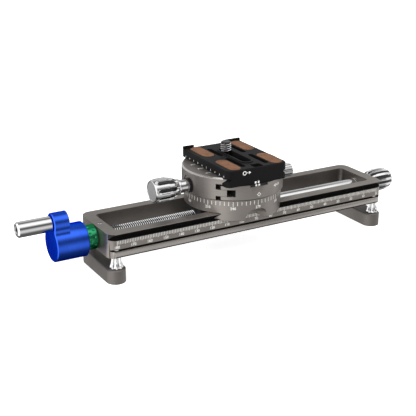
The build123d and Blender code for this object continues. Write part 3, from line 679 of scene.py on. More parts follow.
def socket_screw(head: float, height: float, shank: float, length: float, key: float) -> np.ndarray:
    """Turn a cap screw with a hexagon socket, its head's top at zero and its shank along the axis.

    The socket's rows lie at key / cos(a), where a is the angle from a flat's middle.

    Args:
        head: Radius of the head.
        height: Height of the head.
        shank: Radius of the shank.
        length: Length below the head's top.
        key: Distance from the axis to a flat of the socket.

    Returns:
        Rows by sides by three.
    """
    deep, edge = 0.65 * height, 0.12 * head
    corners = [
        (deep, AXIS), (deep, key), (0.0, key), (0.0, key + 0.02), (0.0, head - edge),
        (0.3 * edge, head - 0.3 * edge), (edge, head), (height, head), (height, shank), (length, shank),
        (length, AXIS),
    ]
    grid = turned(np.array(corners), 36)
    angle = np.arctan2(grid[1, :, 2], grid[1, :, 1])
    wide = key / np.cos((angle + math.pi / 6) % (math.pi / 3) - math.pi / 6)
    grid[1:3, :, 1:] = np.stack([wide * np.cos(angle), wide * np.sin(angle)], -1)
    return grid


def thread_shell(length: float, crest: float, root: float, pitch: float, sides: int = 28) -> Shell:
    """Make a screw thread as one helical surface.

    Column c stands at the angle 2 pi c / sides. Row r of it lies at pitch (r / 6 + c / sides)
    along the axis, so the rows climb as a helix, and its radius repeats every six rows: root,
    flank, crest, crest, flank, root. What would pass an end is laid flat on it.

    Args:
        length: Threaded length.
        crest: Outer radius.
        root: Radius at the foot of the thread.
        pitch: Climb in one turn.
        sides: Points round the axis.

    Returns:
        The shell along the first coordinate, from zero, with open ends.
    """
    per_turn = 6
    shape = np.array([0.0, 0.55, 1.0, 1.0, 0.55, 0.0])
    rows = int(per_turn * (math.ceil(length / pitch) + 2))
    r, c = np.arange(rows)[:, None], np.arange(sides)[None, :]
    raw = pitch * (r / per_turn + c / sides) - pitch
    radius = root + (crest - root) * shape[np.arange(rows) % per_turn][:, None]
    radius = np.where((raw < 0) | (raw > length), root, radius + 0.0 * c)
    angle = TURN * c / sides + 0.0 * r
    along = np.clip(raw, 0.0, length)
    points = np.stack([along, radius * np.cos(angle), radius * np.sin(angle)], -1)
    index = r * sides + c
    inner = np.stack([index[:-1, :-1], index[:-1, 1:], index[1:, 1:], index[1:, :-1]], -1)
    low, high = index[: -per_turn - 1, -1], index[1:-per_turn, -1]
    seam = np.stack([low, index[per_turn:-1, 0], index[per_turn + 1 :, 0], high], -1)
    faces = inner.reshape(-1, 4).tolist() + seam.tolist()
    return Shell(points.reshape(-1, 3), faces)


# --- Marks ---------------------------------------------------------------------------------------

# How far a mark stands over its surface and reaches into it, in millimetres.
PAINT_LIFT, PAINT_SINK = 0.012, 0.06
# A digit's height against its font's size, and what is added round it, against its height.
DIGIT_SHARE, DIGIT_SWELL = 0.7, 0.012


def slabs(places: np.ndarray, sizes: np.ndarray) -> Shell:
    """Make thin closed blocks in surface coordinates.

    Args:
        places: Middle of each mark, as (s, t) across and up the surface.
        sizes: Width and height of each mark.

    Returns:
        A shell whose third coordinate is the height over the surface, from just below to just over.
    """
    signs = np.array([[-1, -1], [1, -1], [1, 1], [-1, 1]]) / 2
    flat = places[:, None, :] + signs[None] * sizes[:, None, :]
    low = np.concatenate([flat, np.full(flat.shape[:2] + (1,), -PAINT_SINK)], -1)
    high = np.concatenate([flat, np.full(flat.shape[:2] + (1,), PAINT_LIFT)], -1)
    points = np.concatenate([low, high], 1).reshape(-1, 3)
    block = np.array([[0, 3, 2, 1], [4, 5, 6, 7], [0, 1, 5, 4], [1, 2, 6, 5], [2, 3, 7, 6], [3, 0, 4, 7]])
    faces = (np.arange(len(places))[:, None, None] * 8 + block[None]).reshape(-1, 4)
    return Shell(points, faces.tolist())


def outline_mark(corners: np.ndarray) -> Shell:
    """Make one closed flat mark from its corners, in surface coordinates."""
    count = len(corners)
    low = np.column_stack([corners, np.full(count, -PAINT_SINK)])
    high = np.column_stack([corners, np.full(count, PAINT_LIFT)])
    ring = [(k, (k + 1) % count, count + (k + 1) % count, count + k) for k in range(count)]
    caps = [tuple(range(count - 1, -1, -1)), tuple(range(count, 2 * count))]
    return Shell(np.concatenate([low, high]), caps + ring)


def ring_mark(outer: np.ndarray, inner: np.ndarray) -> Shell:
    """Make a closed flat mark between two outlines of the same number of corners."""
    rows = [
        np.column_stack([outer, np.full(len(outer), -PAINT_SINK)]),
        np.column_stack([outer, np.full(len(outer), PAINT_LIFT)]),
        np.column_stack([inner, np.full(len(inner), PAINT_LIFT)]),
        np.column_stack([inner, np.full(len(inner), -PAINT_SINK)]),
    ]
    return grid_shell(np.stack(rows + rows[:1]))


def polygon(sides: int, radius: float, place: tuple[float, float], turn: float = 0.0) -> np.ndarray:
    """Corners of a regular polygon, at radius (cos, sin) of equal steps from the turn."""
    angle = np.arange(sides) * TURN / sides + turn
    return np.column_stack([place[0] + radius * np.cos(angle), place[1] + radius * np.sin(angle)])


def number_mark(text: str, height: float, place: tuple[float, float]) -> Shell:
    """Make a short number with its middle at a place on the surface.

    Args:
        text: The digits.
        height: Height of a digit.
        place: The middle's place, as (s, t) across and up the surface.

    Returns:
        The number's shell in surface coordinates.
    """
    curve = bpy.data.curves.new("numeral", "FONT")
    curve.body = text
    curve.size = height / DIGIT_SHARE * MM
    curve.align_x = curve.align_y = "CENTER"
    curve.resolution_u = 2
    curve.offset = DIGIT_SWELL * height * MM
    curve.extrude = 0.5 * (PAINT_LIFT + PAINT_SINK) * MM
    holder = bpy.data.objects.new("numeral", curve)
    bpy.context.scene.collection.objects.link(holder)
    bpy.context.view_layer.update()
    mesh = bpy.data.meshes.new_from_object(holder)
    points = np.zeros(len(mesh.vertices) * 3)
    mesh.vertices.foreach_get("co", points)
    points = points.reshape(-1, 3) / MM
    points[:, 2] += 0.5 * (PAINT_LIFT - PAINT_SINK)
    points[:, :2] -= 0.5 * (points[:, :2].min(0) + points[:, :2].max(0))
    faces = [tuple(face.vertices) for face in mesh.polygons]
    bpy.data.objects.remove(holder)
    bpy.data.curves.remove(curve)
    bpy.data.meshes.remove(mesh)
    return Shell(points + np.array([place[0], place[1], 0.0]), faces)


def print_marks(name: str, marks: Sequence[Shell], surface: Surface, body: str) -> None:
    """Lay white marks on a surface and let them ride on its body as one piece."""
    flat = joined(marks)
    make_piece(name, Shell(surface(flat.points), flat.faces), PALETTE.ink, body)


def front_face(y: float) -> Surface:
    """Surface facing the front: (s, t, d) goes to (s, y - d, t)."""
    return lambda p: np.column_stack([p[:, 0], y - p[:, 2], p[:, 1]])


def left_face(x: float) -> Surface:
    """Surface facing left: (s, t, d) goes to (x - d, s, t)."""
    return lambda p: np.column_stack([x - p[:, 2], p[:, 0], p[:, 1]])


def top_face(z: float) -> Surface:
    """Surface facing up: (s, t, d) goes to (s, t, z + d)."""
    return lambda p: np.column_stack([p[:, 0], p[:, 1], z + p[:, 2]])


def rim_face(x: float, radius: float) -> Surface:
    """Upright cylinder about x: (s, t, d) goes to the angle s / radius from the front, at height t."""

    def place(p: np.ndarray) -> np.ndarray:
        angle, reach = p[:, 0] / radius, radius + p[:, 2]
        return np.column_stack([x + reach * np.sin(angle), -reach * np.cos(angle), p[:, 1]])

    return place


# --- Sub-assemblies ------------------------------------------------------------------------------


@dataclass
class Rail:
    """The windowed rail, its scale, feet, flared nuts, bushes and small screws.

    A drop is measured down from the rail's top, and an inset inwards from its front or back.
    """

    zero: float = 89.55
    reading: int = 180
    tick_drop: float = 3.88
    tick_width: float = 0.26
    tick_heights: Triple = (2.6, 2.35, 2.0)
    numeral_height: float = 1.6
    numeral_drop: float = 7.5
    groove: tuple[float, float] = (0.3, 3.85)
    undercut: tuple[float, float] = (8.9, 10.4)
    flange_drop: float = 10.5
    chamfer_drop: float = 13.6
    wall: float = 4.0
    ledge_root: float = 2.2
    ledge_width: float = 2.0
    ledge_drop: float = 10.1
    ledge_fall: float = 0.4
    slope_start: float = 0.8
    slope_drop: float = 0.7
    foot_edge_drop: float = 13.7
    foot_edge_lift: float = 0.4
    nuts_at: tuple[str, ...] = ("front_left", "back_left", "front_right", "back_right")

    def build(self) -> None:
        """Build the rail's pieces in order."""
        frame_piece = refined("rail_frame", PALETTE.rail, "rail", 0.12, self.slope_flange)
        # Painted shade: the grooves, undercuts and bottom chamfers take a near-black finish.
        repaint(frame_piece, PALETTE.hollow, self.in_groove)
        # Painted shade: the window's walls take a darker finish than the strip.
        repaint(frame_piece, PALETTE.inner_wall, self.in_window)
        # Painted highlight: the flange's slope and upright side take a paler finish.
        repaint(frame_piece, PALETTE.flange, self.on_flange)
        refined("foot_left", PALETTE.foot, "rail", 0.15)
        refined("foot_right", PALETTE.foot, "rail", 0.15)
        dress(PALETTE.pin_steel, "bush_left", "bush_right")
        self.scale()
        self.nuts()
        self.screws()

    @staticmethod
    def depths(place: Vector) -> tuple[float, float]:
        """Return the drop and the inset of a place."""
        return AT.rail_high[2] - place.z, AT.rail_high[1] - abs(place.y)

    def in_groove(self, place: Vector, normal: Vector) -> bool:
        """Tell the faces inside the side grooves, the undercuts and the bottom chamfers, which take painted
        shade.
        """
        drop, inset = self.depths(place)
        outside = abs(place.y) > AT.rail_high[1] - self.wall
        groove = self.groove[0] < drop < self.groove[1] and inset > 0.05
        undercut = self.undercut[0] < drop < self.undercut[1] and inset > 0.4
        chamfer = drop > self.chamfer_drop and inset > 0.25 and abs(normal.z) < 0.9
        return outside and (groove or undercut or chamfer) and abs(normal.x) < 0.95

    def on_flange(self, place: Vector, normal: Vector) -> bool:
        """Tell the slope and the upright side of the lower flange, which take a painted highlight."""
        drop, inset = self.depths(place)
        return drop > self.flange_drop and inset < 1.0 and abs(normal.y) > 0.4 and normal.z > -0.3

    def in_window(self, place: Vector, normal: Vector) -> bool:
        """Tell the walls of the window, which take painted shade."""
        inside = abs(place.y) < AT.rail_high[1] - self.wall
        between = AT.rail_low[0] + self.wall < place.x < AT.rail_high[0] - self.wall
        return inside and between and abs(normal.z) < 0.8

    def slope_flange(self, work: bmesh.types.BMesh) -> None:
        """Lean the flange's upper side back: a dark ledge in the undercut, then a wide slope.

        The ledge is cut along a line at the share slope_start of its width. A point at a share t
        past that line drops by slope_drop (t - slope_start) / (1 - slope_start).
        """

        def share_on_ledge(vert: bmesh.types.BMVert) -> float:
            """Return how far out on the ledge a point lies, or minus one off it."""
            drop, inset = self.depths(vert.co / MM)
            share = (self.ledge_root - inset) / self.ledge_width
            on_it = share > -0.01 and abs(drop - self.ledge_drop - self.ledge_fall * share) < 0.03
            return share if on_it else -1.0

        line = (AT.rail_high[1] - self.ledge_root + self.slope_start * self.ledge_width) * MM
        for side in (-1.0, 1.0):
            ledge = [
                face
                for face in work.faces
                if all(share_on_ledge(v) >= -0.01 and v.co.y * side > 0 for v in face.verts)
            ]
            parts = set(ledge) | {e for f in ledge for e in f.edges} | {v for f in ledge for v in f.verts}
            cut = {"plane_co": (0, side * line, 0), "plane_no": (0, 1, 0)}
            bmesh.ops.bisect_plane(work, geom=list(parts), **cut)
        for vert in work.verts:
            past = (share_on_ledge(vert) - self.slope_start) / (1.0 - self.slope_start)
            if past > 0.001:
                vert.co.z -= self.slope_drop * past * MM
            drop, inset = self.depths(vert.co / MM)
            if abs(drop - self.foot_edge_drop) < 0.02 and inset < 0.3:
                vert.co.z += self.foot_edge_lift * MM

    def scale(self) -> None:
        """Lay the millimetre scale on the front strip: one tick a millimetre, numbers every ten."""
        zero_x = (AT.rail_low[0] + AT.rail_high[0]) / 2 + self.zero
        value = np.arange(self.reading + 1)
        ten, five, one = self.tick_heights
        height = np.where(value % 10 == 0, ten, np.where(value % 5 == 0, five, one))
        places = np.column_stack([zero_x - value, AT.rail_high[2] - self.tick_drop - height / 2])
        marks = [slabs(places, np.column_stack([np.full(len(value), self.tick_width), height]))]
        for number in range(0, self.reading + 1, 10):
            place = (zero_x - number, AT.rail_high[2] - self.numeral_drop)
            marks.append(number_mark(str(number), self.numeral_height, place))
        print_marks("rail_scale", marks, front_face(AT.rail_low[1]), "rail")

    def nuts(self) -> None:
        """Turn the four flared nuts: a waist over a wide foot, with flutes that fade upwards."""
        low, high = span("nut_front_left")
        tall = high[2] - low[2]
        corners = [
            (0.0, 2.06), (0.0, 3.72), (0.17 * tall, 3.78), (0.47 * tall, 3.05), (0.78 * tall, 2.68),
            (tall, 2.6), (tall, 2.06),
        ]
        path = close_spaced(rounded_path(corners, 0.8, 5), 0.35)
        flutes = Flutes(count=8, cutter=1.1, depth=0.75, start=-2.0, end=tall + 2.3, ease=2.0)
        grid = turned(path, 96, flutes)
        shell = grid_shell(np.concatenate([grid, grid[:1]]))
        for place in self.nuts_at:
            node = f"nut_{place}"
            x, y, _ = middle(node)
            placed = Shell(along_z(shell.points, x, y, low[2]), shell.faces)
            make_piece(f"{node}_turned", placed, PALETTE.chrome, f"{place}_nut", (node,), TURNED_CREASE)

    def screws(self) -> None:
        """Give the foot screws and the set screw their hexagon sockets."""
        low, high = span("foot_screws")
        grid = socket_screw(head=3.5, height=3.0, shank=2.0, length=high[2] - low[2], key=1.5)
        shells = []
        for place in self.nuts_at:
            x, y, _ = middle(f"nut_{place}")
            shells.append(grid_shell(along_z(grid, x, y, low[2])))
        make_piece("foot_cap_screws", joined(shells), PALETTE.pin_steel, "rail", ("foot_screws",))
        grub = socket_screw(head=1.4, height=1.6, shank=1.38, length=2.3, key=0.4)
        low, high = span("rail_set_screw")
        shell = grid_shell(along_z(grub, (low[0] + high[0]) / 2, 0.0, high[2], -1))
        make_piece("bar_set_screw", shell, PALETTE.chrome, "rail", ("rail_set_screw",))


@dataclass
class Drive:
    """Lead screw, ring, crank, handle and end knob, all on or beside the screw's axis."""

    thread_end: float = 32.2
    screw_radius: float = 4.0
    journal: float = 3.0
    shoulder: float = 7.1
    pitch: float = 1.25
    root: float = 3.3
    ring_radius: float = 7.0
    dimple_radius: float = 0.75
    dimple_depth: float = 0.45
    dimples: int = 10
    dimple_rows: tuple = ((2.0, 0.0), (4.4, 0.5))

    def build(self) -> None:
        """Build the drive's pieces in order."""
        self.screw()
        self.ring()
        refined("crank_arm", PALETTE.blue, "crank", 0.25)
        self.handle()
        self.end_knob()

    def screw(self) -> None:
        """Make the lead screw: threaded to the carriage's right edge and plain beyond it."""
        start, stop = AT.rail_low[0] + self.shoulder, AT.rail_high[0] - self.shoulder
        thread_stop = AT.pan_x + self.thread_end
        wide, thin, chamfer = self.screw_radius, self.journal, 0.6
        thread = thread_shell(thread_stop - start, wide, self.root, self.pitch)
        thread.points = along_x(thread.points, start, 0.0, AT.screw_z)
        low, high = span("lead_screw")
        neck = start - low[0]
        left = [(0.0, AXIS), (0.0, thin), (neck, thin), (neck, AXIS)]
        rest, tail = stop - thread_stop, high[0] - thread_stop
        right = [
            (0.0, AXIS), (0.0, wide - chamfer / 2), (chamfer, wide), (rest, wide), (rest, thin), (tail, thin),
            (tail, AXIS),
        ]
        shells = [
            thread,
            lathe(left, 48, low[0], AT.screw_z),
            lathe(rounded_path(right, 0.2), 64, thread_stop, AT.screw_z),
        ]
        whole = joined(shells)
        piece = make_piece(
            "threaded_lead_screw", whole, PALETTE.steel, "crank", ("lead_screw",), THREAD_CREASE, True
        )
        foot = self.root + 0.3 * (wide - self.root)
        # Painted shade: the thread's roots take a darker finish.
        paint_floors(piece, AT.screw_z, start, thread_stop, lambda x: foot)

    def ring(self) -> None:
        """Turn the ring, with two rows of round dimples.

        The radius is R less a cosine bowl of the dimples' depth wherever a point lies within a
        dimple's radius of its middle.
        """
        radius, bore, sides = self.ring_radius, 3.02, 220
        low, high = span("crank_ring")
        wide = high[0] - low[0]
        corners = [(0.0, bore), (0.0, radius), (wide, radius), (wide, bore)]
        grid = turned(close_spaced(rounded_path(corners, 0.45), 0.22), sides)
        angle = np.arange(sides) * TURN / sides
        pitch = TURN / self.dimples
        for row_at, phase in self.dimple_rows:
            off = ((angle + phase * pitch + pitch / 2) % pitch - pitch / 2) * radius
            far = np.hypot(grid[..., 0] - row_at, off[None, :]) / self.dimple_radius
            bowl = self.dimple_depth * np.cos(np.clip(far, 0, 1) * math.pi / 2)
            reach = np.hypot(grid[..., 1], grid[..., 2])
            shrink = np.where(reach > radius - 0.2, (reach - bowl) / reach, 1.0)
            grid[..., 1:] *= shrink[..., None]
        shell = grid_shell(along_x(np.concatenate([grid, grid[:1]]), low[0], 0.0, AT.screw_z))
        make_piece("dimpled_ring", shell, PALETTE.green, "crank", ("crank_ring",), TURNED_CREASE)

    def handle(self) -> None:
        """Turn the handle with its recessed end, and the socket screw inside it."""
        corners = [
            (0.0, 2.06), (0.0, 4.1), (0.3, 4.4), (18.5, 4.4), (19.4, 3.5), (19.4, 3.0), (16.4, 3.0),
            (16.4, 2.06),
        ]
        path = rounded_path(corners, 0.22)
        _, y, z = middle("crank_handle")
        foot = span("crank_handle")[1][0]
        shell = lathe(np.concatenate([path, path[:1]]), 96, foot, z, -1, y)
        make_piece("polished_handle", shell, PALETTE.chrome, "handle", ("crank_handle",), TURNED_CREASE)
        low, high = span("handle_screw")
        screw = socket_screw(head=2.8, height=2.4, shank=2.0, length=high[0] - low[0], key=1.4)
        shell = grid_shell(along_x(screw, low[0], y, z))
        make_piece("handle_cap_screw", shell, PALETTE.pin_steel, "crank", ("handle_screw",))

    def end_knob(self) -> None:
        """Turn the end knob: neck, flare, fluted barrel and dome, on its stem."""
        corners = [
            (-3.3, AXIS), (-3.3, 3.0), (0.0, 3.0), (0.0, 3.9), (2.6, 3.9), (4.2, 5.5), (6.0, 6.9), (9.4, 7.4),
            (14.6, 7.4), (17.6, 7.0), (20.0, 6.1), (21.8, 4.7), (22.6, 3.2), (22.6, AXIS),
        ]
        path = rounded_path(corners, 1.2, 5)
        flutes = Flutes(count=12, cutter=1.15, depth=0.95, start=3.2, end=23.4, ease=2.6)
        base, z = float(span("end_knob")[1][0]) - corners[-1][0], AT.screw_z
        shell = lathe(close_spaced(path, 0.3), 240, base, z, flutes=flutes)
        piece = make_piece(
            "fluted_end_knob", shell, PALETTE.chrome, "end_lock", ("end_knob",), TURNED_CREASE
        )
        barrel = path[4:-4].T
        # Painted shade: the flutes' floors take a darker finish.
        paint_floors(piece, z, base + 4.6, base + 21.0, lambda x: np.interp(x - base, *barrel) - 0.4)


@dataclass
class Carriage:
    """The base with its degree scale, the drive nut, the pan pivot and its retainer."""

    tick_drop: float = 0.8
    tick_width: float = 0.26
    tick_heights: tuple[float, float] = (3.0, 2.3)
    numeral_height: float = 1.6
    numeral_drop: float = 4.85
    front_reading: int = 270

    def build(self) -> None:
        """Build the carriage's pieces in order."""
        refined("carriage_base", PALETTE.drum, "carriage", 0.15)
        dress(PALETTE.nylon, "drive_nut")
        dress(PALETTE.pin_steel, "pan_pivot", "pivot_retainer")
        self.degrees()

    def degrees(self) -> None:
        """Lay the degree scale round the rim: a tick every 5 and a number every 30."""
        low, high = span("carriage_base")
        radius = (high[0] - low[0]) / 2
        value = np.arange(0, 360, 5)
        arc = (((value - self.front_reading + 180) % 360) - 180) * TURN / 360 * radius
        height = np.where(value % 30 == 0, *self.tick_heights)
        places = np.column_stack([arc, AT.base_top - self.tick_drop - height / 2])
        marks = [slabs(places, np.column_stack([np.full(len(arc), self.tick_width), height]))]
        for number, place in zip(value[::6], arc[::6]):
            at = (place, AT.base_top - self.numeral_drop)
            marks.append(number_mark(str(number), self.numeral_height, at))
        print_marks("degree_scale", marks, rim_face(AT.pan_x, radius), "carriage")


@dataclass
class PanClamp:
    """The pan body, movable jaw, notch block, clamp knob, washer and pan lock knob."""

    bar_places: tuple[float, float] = (-1.5, 0.5)
    bar_width: float = 1.1
    plate_bar: tuple[float, float] = (0.75, 1.3)
    index_x: float = -0.3
    index_drop: float = 10.7
    arrow_x: float = 14.5
    arrow_drop: float = 8.0
    dot_x: float = -23.4
    line_x: float = -21.7
    dots_y: tuple[float, ...] = (8.2, -0.6, -9.8)

    def build(self) -> None:
        """Build the clamp's pieces in order."""
        for node, body in (("pan_body", "pan"), ("clamp_jaw", "jaw")):
            piece = refined(node, PALETTE.drum, body, 0.15)
            # Painted shade: the jaw's split, notches and tongue slot take a near-black finish.
            repaint(piece, PALETTE.hollow, self.in_slot)
            # Painted highlight: the chamfer round the body's top takes a pale finish.
            repaint(piece, PALETTE.bright_cut, self.on_chamfer)
        dress(PALETTE.nylon, "notch_block", "clamp_washer")
        dress(PALETTE.pin_steel, "jaw_guide_pins")
        self.marks()
        self.clamp_knob()
        self.lock_knob()

    @staticmethod
    def on_chamfer(place: Vector, normal: Vector) -> bool:
        """Tell the chamfer round the upper body's top, which takes a painted highlight."""
        far = math.hypot(place.x - AT.pan_x, place.y)
        return 0.5 < normal.z < 0.9 and AT.body_top - place.z < 0.9 and far > 28.0

    @staticmethod
    def in_slot(place: Vector, normal: Vector) -> bool:
        """Tell the faces inside the jaw's split, its notches and the slot of its tongue, which take painted
        shade.
        """
        x, drop = place.x - AT.pan_x, AT.body_top - place.z
        within = math.hypot(x, place.y) < 29.6
        return within and -24.0 < x < -12.5 and drop > 3.0 and abs(normal.z) < 0.9

    def bars(self, name: str, node: str, z: float, height: float, body: str) -> None:
        """Print two white bars on the front of a CAD node."""
        places = np.array([[AT.pan_x + x, z] for x in self.bar_places])
        shell = slabs(places, np.full((2, 2), (self.bar_width, height)))
        print_marks(name, [shell], front_face(span(node)[0][1]), body)

    def marks(self) -> None:
        """Print the index, the turn arrows, the jaw's dots and lines and the two pairs of bars."""
        surface = rim_face(AT.pan_x, float(span("pan_body")[1][1]))
        index = (self.index_x, AT.body_top - self.index_drop)
        print_marks("pan_index", [ring_mark(polygon(4, 1.3, index), polygon(4, 0.9, index))], surface, "pan")
        x, z = self.arrow_x, AT.body_top - self.arrow_drop
        arrows = [
            outline_mark(polygon(3, 1.2, (x + 1.9, z), 0.0)),
            outline_mark(polygon(3, 1.2, (x - 1.9, z), math.pi)),
            outline_mark(polygon(16, 0.55, (x, z))),
        ]
        print_marks("turn_arrows", arrows, surface, "pan")
        spots = []
        for y in self.dots_y:
            spots.append(outline_mark(polygon(14, 0.5, (AT.pan_x + self.dot_x, y))))
            spots.append(slabs(np.array([[AT.pan_x + self.line_x, y]]), np.array([[2.3, 0.3]])))
        print_marks("jaw_marks", spots, top_face(AT.body_top), "jaw")
        low, high = span("notch_block")
        self.bars("block_bars", "notch_block", (low[2] + high[2]) / 2, 0.9 * (high[2] - low[2]), "pan")
        over, height = self.plate_bar
        self.bars("plate_bars", "qr_plate", span("qr_plate")[0][2] + over, height, "plate")

    def clamp_knob(self) -> None:
        """Turn the clamp knob: neck, collar and a swelling barrel with eight deep flutes."""
        corners = [
            (-21.0, AXIS), (-21.0, 2.5), (0.0, 2.5), (0.0, 3.9), (5.9, 3.9), (5.9, 4.7), (6.8, 4.7),
            (7.0, 4.4), (8.6, 5.4), (11.4, 6.7), (14.8, 7.2), (19.6, 7.2), (22.4, 6.95), (23.6, 6.3),
            (23.6, 5.7), (23.3, 5.6), (23.3, AXIS),
        ]
        path = rounded_path(corners, 0.5)
        flutes = Flutes(count=8, cutter=2.0, depth=1.35, start=7.4, end=22.9, ease=3.6, phase=0.2)
        face_x = float(span("clamp_knob")[0][0])
        base, z = face_x + 23.6, middle("clamp_washer")[2]
        shell = lathe(close_spaced(path, 0.3), 240, base, z, -1, flutes=flutes)
        piece = make_piece(
            "fluted_clamp_knob", shell, PALETTE.chrome, "clamp", ("clamp_knob",), TURNED_CREASE
        )
        barrel = path[:-8].T
        # Painted shade: the flutes' floors take a darker finish.
        paint_floors(piece, z, face_x + 1.2, base - 8.4, lambda x: np.interp(base - x, *barrel) - 0.9)
        face = [(0.0, AXIS), (0.0, 5.5), (0.06, 5.56), (0.06, AXIS)]
        make_piece("knob_end_disc", lathe(face, 72, face_x + 0.32, z, -1), PALETTE.disc, "clamp")

    def lock_knob(self) -> None:
        """Turn the pan lock knob: a short fluted barrel on a neck, with its stem."""
        corners = [
            (-22.1, AXIS), (-22.1, 2.5), (0.0, 2.5), (0.0, 3.2), (2.0, 3.2), (2.0, 3.7), (2.7, 4.35),
            (11.8, 4.35), (12.5, 3.65), (12.5, AXIS),
        ]
        path = close_spaced(rounded_path(corners, 0.3), 0.4)
        flutes = Flutes(count=10, cutter=0.8, depth=0.38, start=2.2, end=12.3, ease=1.2)
        base = span("pan_lock_knob")[1][0] - corners[-1][0]
        shell = lathe(path, 160, base, middle("pan_lock_knob")[2], flutes=flutes)
        make_piece(
            "fluted_lock_knob", shell, PALETTE.chrome, "pan_lock", ("pan_lock_knob",), TURNED_CREASE
        )


@dataclass
class Plate:
    """The quick release plate, its side marks, grip pads and camera screw."""

    lip_height: float = 1.5
    tick_drop: float = 3.87
    lens_x: float = -9.0
    lens_drop: float = 2.4
    pad_length: float = 20.96
    pad_width: float = 7.56
    neck_proud: float = 0.7
    neck_radius: float = 2.8

    def build(self) -> None:
        """Build the plate's pieces in order."""
        refined("qr_plate", PALETTE.black, "plate", 0.22)
        self.low, self.high = span("qr_plate")
        self.top = float(self.high[2]) - self.lip_height
        self.marks()
        self.pads()
        self.camera_screw()

    def marks(self) -> None:
        """Print the ticks along the left flange and a lens-direction mark on the front."""
        mid_y = (self.low[1] + self.high[1]) / 2
        y = mid_y + np.arange(-22.5, 23.0, 5.0)
        places = np.column_stack([y, np.full(len(y), self.top - self.tick_drop)])
        ticks = slabs(places, np.full((len(y), 2), (0.35, 1.0)))
        print_marks("plate_ticks", [ticks], left_face(self.low[0]), "plate")
        x, z = AT.pan_x + self.lens_x, self.top - self.lens_drop
        lens = [
            ring_mark(polygon(28, 1.25, (x, z)), polygon(28, 0.8, (x, z))),
            outline_mark(polygon(3, 1.0, (x + 3.3, z), 0.0)),
            slabs(np.array([[x + 2.0, z]]), np.array([[1.0, 0.35]])),
        ]
        print_marks("lens_mark", lens, front_face(self.low[1]), "plate")

    def pads(self) -> None:
        """Make the four grip pads: stadiums with a rolled edge and a slight crown.

        Row (i, h) is the pad's outline drawn in by i at the height h. Point a of an outline of
        half width w and half straight length e lies at (w cos a, w sin a + e sign(sin a)).
        """
        sides = 96
        half, straight = self.pad_width / 2, (self.pad_length - self.pad_width) / 2
        low, high = span("grip_pads")
        angle = (np.arange(sides) + 0.5) * TURN / sides
        rows = np.array(
            [(half, 0.0), (0.0, 0.0), (0.0, 0.7), (0.08, 0.86), (0.26, 0.96), (1.2, 0.99), (half, 1.0)]
        )
        wide = (half - rows[:, 0])[:, None] + AXIS
        shells = []
        for mid_x in (low[0] + half, high[0] - half):
            for mid_y in (low[1] + self.pad_length / 2, high[1] - self.pad_length / 2):
                x = mid_x + wide * np.cos(angle)
                y = mid_y + wide * np.sin(angle) + straight * np.sign(np.sin(angle))
                z = np.repeat(rows[:, 1][:, None], sides, axis=1) + low[2]
                shells.append(grid_shell(np.stack([x, y, z], -1)))
        make_piece(
            "brown_grip_pads", joined(shells), PALETTE.pad, "plate", ("grip_pads",), TURNED_CREASE, True
        )

    def camera_screw(self) -> None:
        """Make the camera screw: a plain head and neck, with the thread over the plate."""
        low, high = span("camera_screw")
        x, y = (low[0] + high[0]) / 2, (low[1] + high[1]) / 2
        radius = (high[0] - low[0]) / 2
        thread_z, neck = self.top + self.neck_proud, self.neck_radius
        rise = thread_z - low[2]
        head = [
            (0.0, AXIS), (0.0, radius - 0.3), (0.3, radius), (2.2, radius), (2.2, neck), (rise, neck),
            (rise, AXIS),
        ]
        lower = along_z(turned(np.array(head), 64), x, y, low[2])
        thread = thread_shell(length=5.0, crest=3.175, root=2.62, pitch=1.27, sides=32)
        thread.points = along_z(thread.points, x, y, thread_z)
        tip = [(0.0, AXIS), (0.0, 3.05), (0.6, 2.5), (0.6, AXIS)]
        upper = along_z(turned(np.array(tip), 48), x, y, high[2] - tip[-1][0])
        shells = [grid_shell(lower), thread, grid_shell(upper)]
        piece = make_piece(
            "threaded_camera_screw", joined(shells), PALETTE.chrome, "mount_screw", ("camera_screw",),
            THREAD_CREASE, True,
        )
        # Painted shade: the thread's roots over the plate take a darker finish.
        repaint(
            piece, PALETTE.flute_floor, lambda p, n: p.z > thread_z and math.hypot(p.x - x, p.y - y) < 2.85
        )


